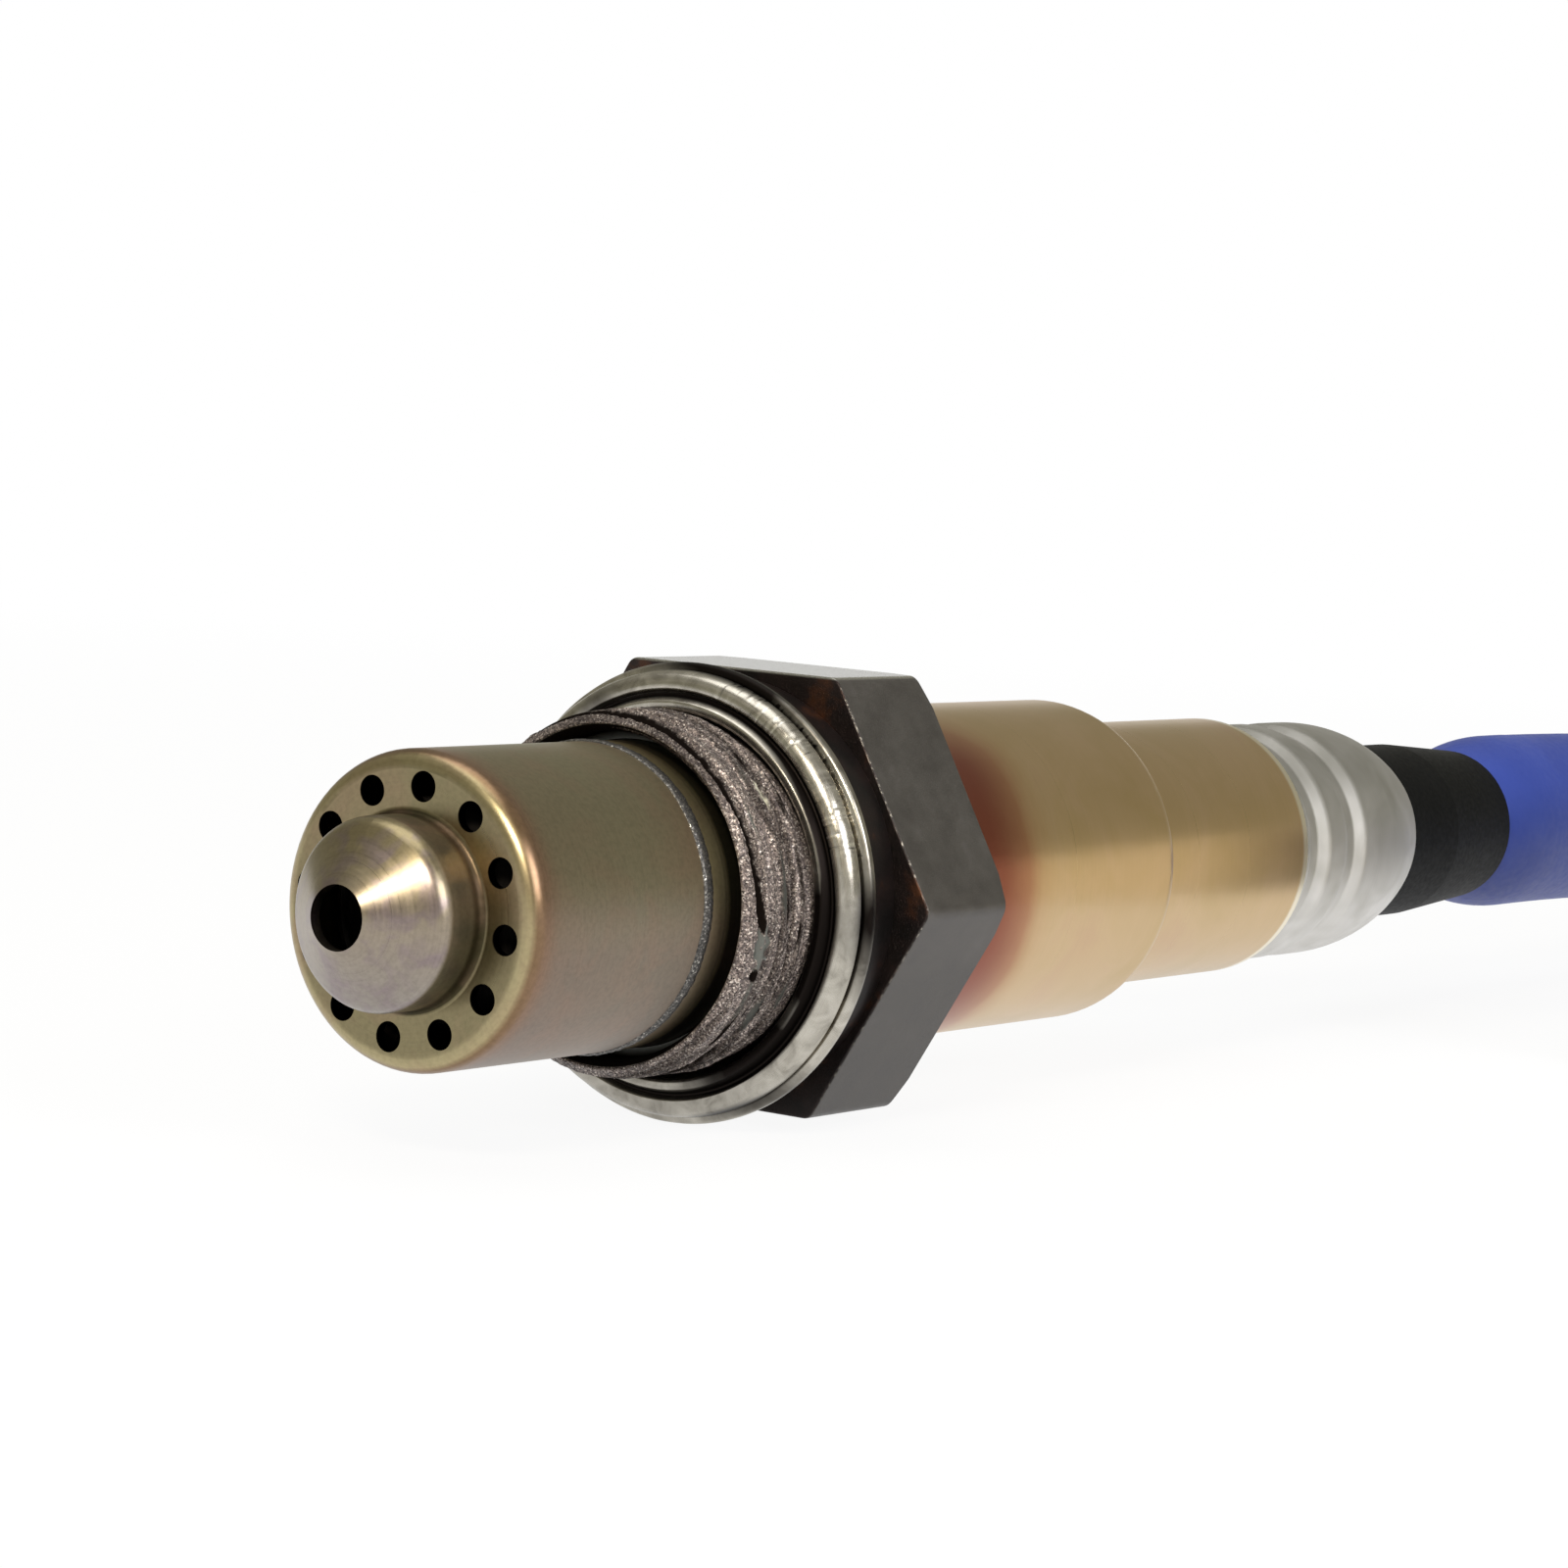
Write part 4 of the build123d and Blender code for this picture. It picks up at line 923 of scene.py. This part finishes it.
# Painted light among the stops: the neck and its root are painted dark, a painted shade; the
# shoulder has a brighter band and then a darker red part, a painted highlight and painted shade;
# behind the weld the tube is painted brighter up to a bright edge, a painted highlight; and it ends
# near black, a painted shade where it goes into the body.
tube_stops = [
    (-24.7, "#a89c86"), (-22.5, "#a09480"), (-21.9, "#706953"), (-20.5, "#6b644e"),
    (-20.3, "#49432f"), (-19.86, "#3b3524"), (-19.81, "#5d5640"), (-19.79, "#ada17c"),
    (-19.62, "#bdaf86"), (-19.4, "#8a7154"), (-18.7, "#94765f"), (-17.2, "#8f7d68"),
    (-12.0, "#8f866f"), (-8.0, "#8c8069"), (-6.5, "#8d7a62"), (-6.0, "#ab9764"),
    (-5.1, "#b8a36c"), (-4.88, "#d8c48c"), (-4.72, "#cbb67e"), (-4.64, "#14110d"),
]
tube_tints_and_light, tree, shader = new_finish("drawn_stainless_heat_tinted_with_painted_light")
place, along, distance = axis_places(tree)
drawing = turned_rings(tree, along, distance, 0.16)
cloud = blotches(tree, place, 4.5, 3.0, 0.8)
grain = blotches(tree, place, 0.25, 3.0)
run = add(tree, "MapRange", {"From Min": tip_x, "From Max": tube_back_x}, {"Value": along})
tint = ramp(tree, run.outputs[0], [
    ((x - tip_x) / (tube_back_x - tip_x), colour) for x, colour in tube_stops])

# Painted reflection: the tube is tinted by height, pinkish grey below and olive above
level = add(tree, "MapRange", {"From Min": -7.5 * MM, "From Max": 7.5 * MM},
            {"Value": height_of(tree, place)}).outputs[0]
side_reflection = ramp(tree, level, [
    (0.0, "#867b75"), (0.4, "#8d8176"), (0.6, "#989076"), (1.0, "#938d6f")])
tint = mix(tree, fade(tree, along, -19.3, -17.5, 0.0, 0.65), tint, side_reflection)
tint = mix(tree, ramp(tree, cloud, [(0.42, 0.0), (0.7, 0.35)]), tint, "#a3836f")
on_cone = fade(tree, along, neck_top_x, neck_top_x - 0.3)
# The cone gets a painted reflection by height too, grey below and olive above
cone_reflection = ramp(tree, level, [(0.2, "#a19a93"), (0.45, "#a39788"), (0.75, "#9a8d6c")])
tint = mix(tree, on_cone, tint, cone_reflection)
cone_cloud = ramp(tree, blotches(tree, place, 1.7, 2.0, 0.5), [(0.48, 0.0), (0.66, 0.6)])
tint = mix(tree, calc(tree, "MULTIPLY", cone_cloud, on_cone), tint, "#8f7f85")
tint = mix(tree, 0.4, tint, ramp(tree, drawing, [(0.25, 0.6), (0.75, 1.0)]), "MULTIPLY")
tint = mix(tree, 0.35, tint, ramp(tree, grain, [(0.3, 0.6), (0.6, 1.0)]), "MULTIPLY")

# Soot has blackened the walls of the gas holes and the inside
inside = fade(tree, distance, inner_wall_radius, inner_wall_radius - 0.2)
behind_face = fade(tree, along, face_x + 0.03, face_x + 0.09)
tint = mix(tree, calc(tree, "MULTIPLY", inside, behind_face), tint, "#14110f")

# The neck and the side are duller than the cone and the face
neck_dull = fade(tree, along, -22.3, -21.9, 0.0, 0.22)
neck_ends = fade(tree, along, -20.0, -19.8, 1.0, 0.0)
side_rough = fade(tree, along, -19.4, -18.8, 0.0, 0.12)
rough = calc(tree, "ADD", calc(tree, "MULTIPLY", neck_dull, neck_ends), side_rough)
satin = ramp(tree, drawing, [(0.25, 0.26), (0.75, 0.36)])
feed(tree, shader, {"Base Color": tint, "Metallic": 1.0,
                    "Roughness": calc(tree, "ADD", satin, rough)})
relief(tree, shader, drawing, 0.006, 0.15)
paint(["outer_protection_tube"], tube_tints_and_light)

soot, tree, shader = new_finish("steel_covered_in_soot")
place = object_place(tree)
feed(tree, shader, {
    "Base Color": ramp(tree, blotches(tree, place, 0.8), [(0.3, "#0c0b0a"), (0.75, "#1d1916")]),
    "Roughness": 0.95, "Specular IOR Level": 0.15})
paint(["inner_protection_tube"], soot)

weld_metal, tree, shader = new_finish("laser_weld_ripples")
place = object_place(tree)
spatter = blotches(tree, place, 0.12, 2.0)
feed(tree, shader, {
    "Base Color": ramp(tree, spatter, [(0.4, "#454443"), (0.62, "#6b6864"), (0.74, "#d8d4cc")]),
    "Metallic": 0.9, "Roughness": ramp(tree, spatter, [(0.4, 0.55), (0.7, 0.25)])})
weld_bead.data.materials.append(weld_metal)
print("tube finishes:", tube_tints_and_light.name, soot.name, weld_metal.name)

# %% Finish the sleeves
red_starts_x = 23.6
red_ends_x = 16.6
sleeve_end_x = 52.5
gold, tree, shader = new_finish("drawn_stainless_tempered_to_straw")
place, along, _ = axis_places(tree)
drawing = turned_rings(tree, along, along, 0.3)
cloud = blotches(tree, place, 6.0, 3.0, 0.6)
straw = ramp(tree, cloud, [(0.3, "#c9ae80"), (0.6, "#d1b58c"), (0.8, "#ceae8a")])
below_top = fade(tree, height_of(tree, place), 0.0096, 0.0062)
red_place = calc(tree, "ADD", along, calc(tree, "MULTIPLY_ADD", cloud, 1.4, -0.7))
red_zone = fade(tree, red_place, red_starts_x, red_ends_x)
red_amount = calc(tree, "MULTIPLY", red_zone, below_top)
red_tones = ramp(tree, red_amount, [(0.0, "#c9a67a"), (0.5, "#b28260"), (1.0, "#8f4f3c")])
straw = mix(tree, ramp(tree, red_amount, [(0.0, 0.0), (0.5, 1.0)]), straw, red_tones)
# A bright ring near the sleeve's end is a painted highlight
rim_highlight = fade(tree, along, sleeve_end_x - 0.75, sleeve_end_x - 0.45)
straw = mix(tree, rim_highlight, straw, "#f3ead4")
straw = mix(tree, 0.12, straw, ramp(tree, drawing, [(0.25, 0.6), (0.75, 1.0)]), "MULTIPLY")
feed(tree, shader, {"Base Color": straw, "Metallic": 1.0,
                    "Roughness": ramp(tree, drawing, [(0.25, 0.27), (0.75, 0.32)])})
relief(tree, shader, drawing, 0.002, 0.05)
paint(["protective_sleeve"], gold)

bright, tree, shader = new_finish("drawn_stainless_bright")
place, along, _ = axis_places(tree)
drawing = turned_rings(tree, along, along, 0.3)
cloud = blotches(tree, place, 3.5, 2.0, 0.5)
silver = ramp(tree, cloud, [(0.3, "#c9c7c1"), (0.7, "#e4e2df")])
# The top is painted darker, a painted shade
top_shade = fade(tree, height_of(tree, place), -0.004, 0.0055, 0.0, 0.5)
silver = mix(tree, top_shade, silver, "#5f5f58")
silver = mix(tree, 0.2, silver, ramp(tree, drawing, [(0.25, 0.6), (0.75, 1.0)]), "MULTIPLY")
feed(tree, shader, {"Base Color": silver, "Metallic": 1.0,
                    "Roughness": ramp(tree, drawing, [(0.25, 0.5), (0.75, 0.58)])})
relief(tree, shader, drawing, 0.004, 0.08)
paint(["crimp_sleeve"], bright)
print("sleeve finishes:", gold.name, bright.name)

# %% [markdown]
# ## Rubber and silicone
# The grommet is moulded black rubber, matt with a faint bloom. The hose is extruded silicone, which
# is smooth and soft in gloss. Both get fine moulding grain and slow changes of tone, because a
# rubber surface is never one flat colour.

# %% Finish the grommet, the hose and the seal
def moulded(name, tones, gloss, sizes, depth, strength, specular=0.5):
    """A moulded, extruded or fired piece. tones and gloss are the stops of ramps, and sizes are
    those of the marks in its tone, in its gloss and in its grain, in mm."""
    material, tree, shader = new_finish(name)
    place = object_place(tree)
    tone_marks, gloss_marks, grain = [blotches(tree, place, size) for size in sizes]
    feed(tree, shader, {"Base Color": ramp(tree, tone_marks, tones),
                        "Roughness": ramp(tree, gloss_marks, gloss),
                        "Specular IOR Level": specular})
    relief(tree, shader, grain, depth, strength)
    return material


rubber = moulded("moulded_black_rubber", [(0.3, "#030405"), (0.75, "#08090b")],
                 [(0.3, 0.5), (0.7, 0.62)], (3.0, 0.3, 0.2), 0.02, 0.2, specular=0.1)
paint(["cable_grommet"], rubber)
silicone = moulded("extruded_blue_silicone", [(0.3, "#243a8e"), (0.7, "#2f469f")],
                   [(0.3, 0.42), (0.7, 0.55)], (9.0, 0.5, 0.35), 0.015, 0.2)
blue_hose.data.materials.append(silicone)
hose_cuff.data.materials.append(silicone)

seal, tree, shader = new_finish("moulded_silicone_seal")
place = object_place(tree)
feed(tree, shader, {
    "Base Color": ramp(tree, blotches(tree, place, 1.5), [(0.3, "#8a4a30"), (0.7, "#a25c3e")]),
    "Roughness": 0.5})
relief(tree, shader, blotches(tree, place, 0.2), 0.01, 0.2)
paint(["wire_seal"], seal)
print("rubber finishes:", rubber.name, silicone.name, seal.name)

# %% [markdown]
# ## The plug and the inner pieces
# The photograph stops just behind the grommet, so the plug has the finish that such plugs have:
# glass filled nylon, moulded in tools that were eroded to a fine matt grain. The pieces inside the
# metal are fired ceramic, pressed talc, spring steel and the plated contacts. Nobody sees them
# unless the sensor is taken apart, but each still gets the finish of its real material.

# %% Finish plastics and ceramics
# Per finish: its nodes, its name, a dark and a light tone, its roughness and the size of its grain
moulded_pieces = [
    (["plug_housing", "plug_rear_cap"],
     ("moulded_natural_nylon", "#d2cfc4", "#d9d6cc", 0.48, 0.25)),
    (["pin_carrier"], ("moulded_grey_nylon", "#6a6b6d", "#7a7b7d", 0.5, 0.25)),
    (["lock_slide"], ("moulded_red_nylon", "#7f2318", "#93301f", 0.46, 0.25)),
    (["sensing_element"], ("fired_zirconia", "#d2cfc4", "#e2dfd3", 0.55, 0.1)),
    (["front_ceramic_bush", "rear_ceramic_bush", "contact_holder_upper", "contact_holder_lower",
      "trim_resistor"], ("fired_steatite", "#d6d0c0", "#e6e1d2", 0.6, 0.15)),
    (["talc_seal"], ("pressed_talc", "#b3b1aa", "#c6c4bd", 0.85, 0.12)),
]
wire_tones = [("black", "#101010", "#1a1a1a"), ("red", "#8f1d16", "#a02a20"),
              ("yellow", "#c49a1a", "#d2aa2c"), ("white", "#d4d3cc", "#e4e3dd"),
              ("grey", "#6d6e70", "#7e7f81")]
for number, (colour, dark, light) in enumerate(wire_tones, 1):
    names = [f"wire_{number}"] + (["plug_leads"] if colour == "white" else [])
    moulded_pieces.append((names, (f"extruded_insulation_{colour}", dark, light, 0.4, 0.3)))
for names, (name, dark, light, roughness, grain) in moulded_pieces:
    gloss = [(0.3, roughness), (0.7, roughness + 0.1)]
    paint(names, moulded(name, [(0.3, dark), (0.7, light)], gloss, (2.5, 0.5, grain), 0.02, 0.3))
print("moulded and fired finishes:", len(moulded_pieces))

# %% Finish springs and contacts
def rolled(name, dark, light, roughness):
    """Rolled or plated strip: a full metal with soft streaks in its tone and gloss."""
    material, tree, shader = new_finish(name)
    _, along, distance = axis_places(tree)
    rolling = turned_rings(tree, along, distance, 0.15)
    feed(tree, shader, {
        "Base Color": ramp(tree, rolling, [(0.3, dark), (0.7, light)]),
        "Roughness": ramp(tree, rolling, [(0.3, roughness), (0.7, roughness + 0.12)]),
        "Metallic": 1.0})
    relief(tree, shader, rolling, 0.004, 0.2)
    return material


paint(["clamp_ring", "holder_spring"], rolled("rolled_spring_steel", "#8d8a84", "#a9a69f", 0.3))
paint([f"contact_{number}" for number in range(1, 6)],
      rolled("nickel_plated_strip", "#bdb8aa", "#d3cfc3", 0.22))
paint([f"plug_pin_{number}" for number in range(1, 7)],
      rolled("tinned_brass_pin", "#bcb8ae", "#d4d1c8", 0.25))
print("nodes without a finish of their own:", sorted(set(nodes) - finished))
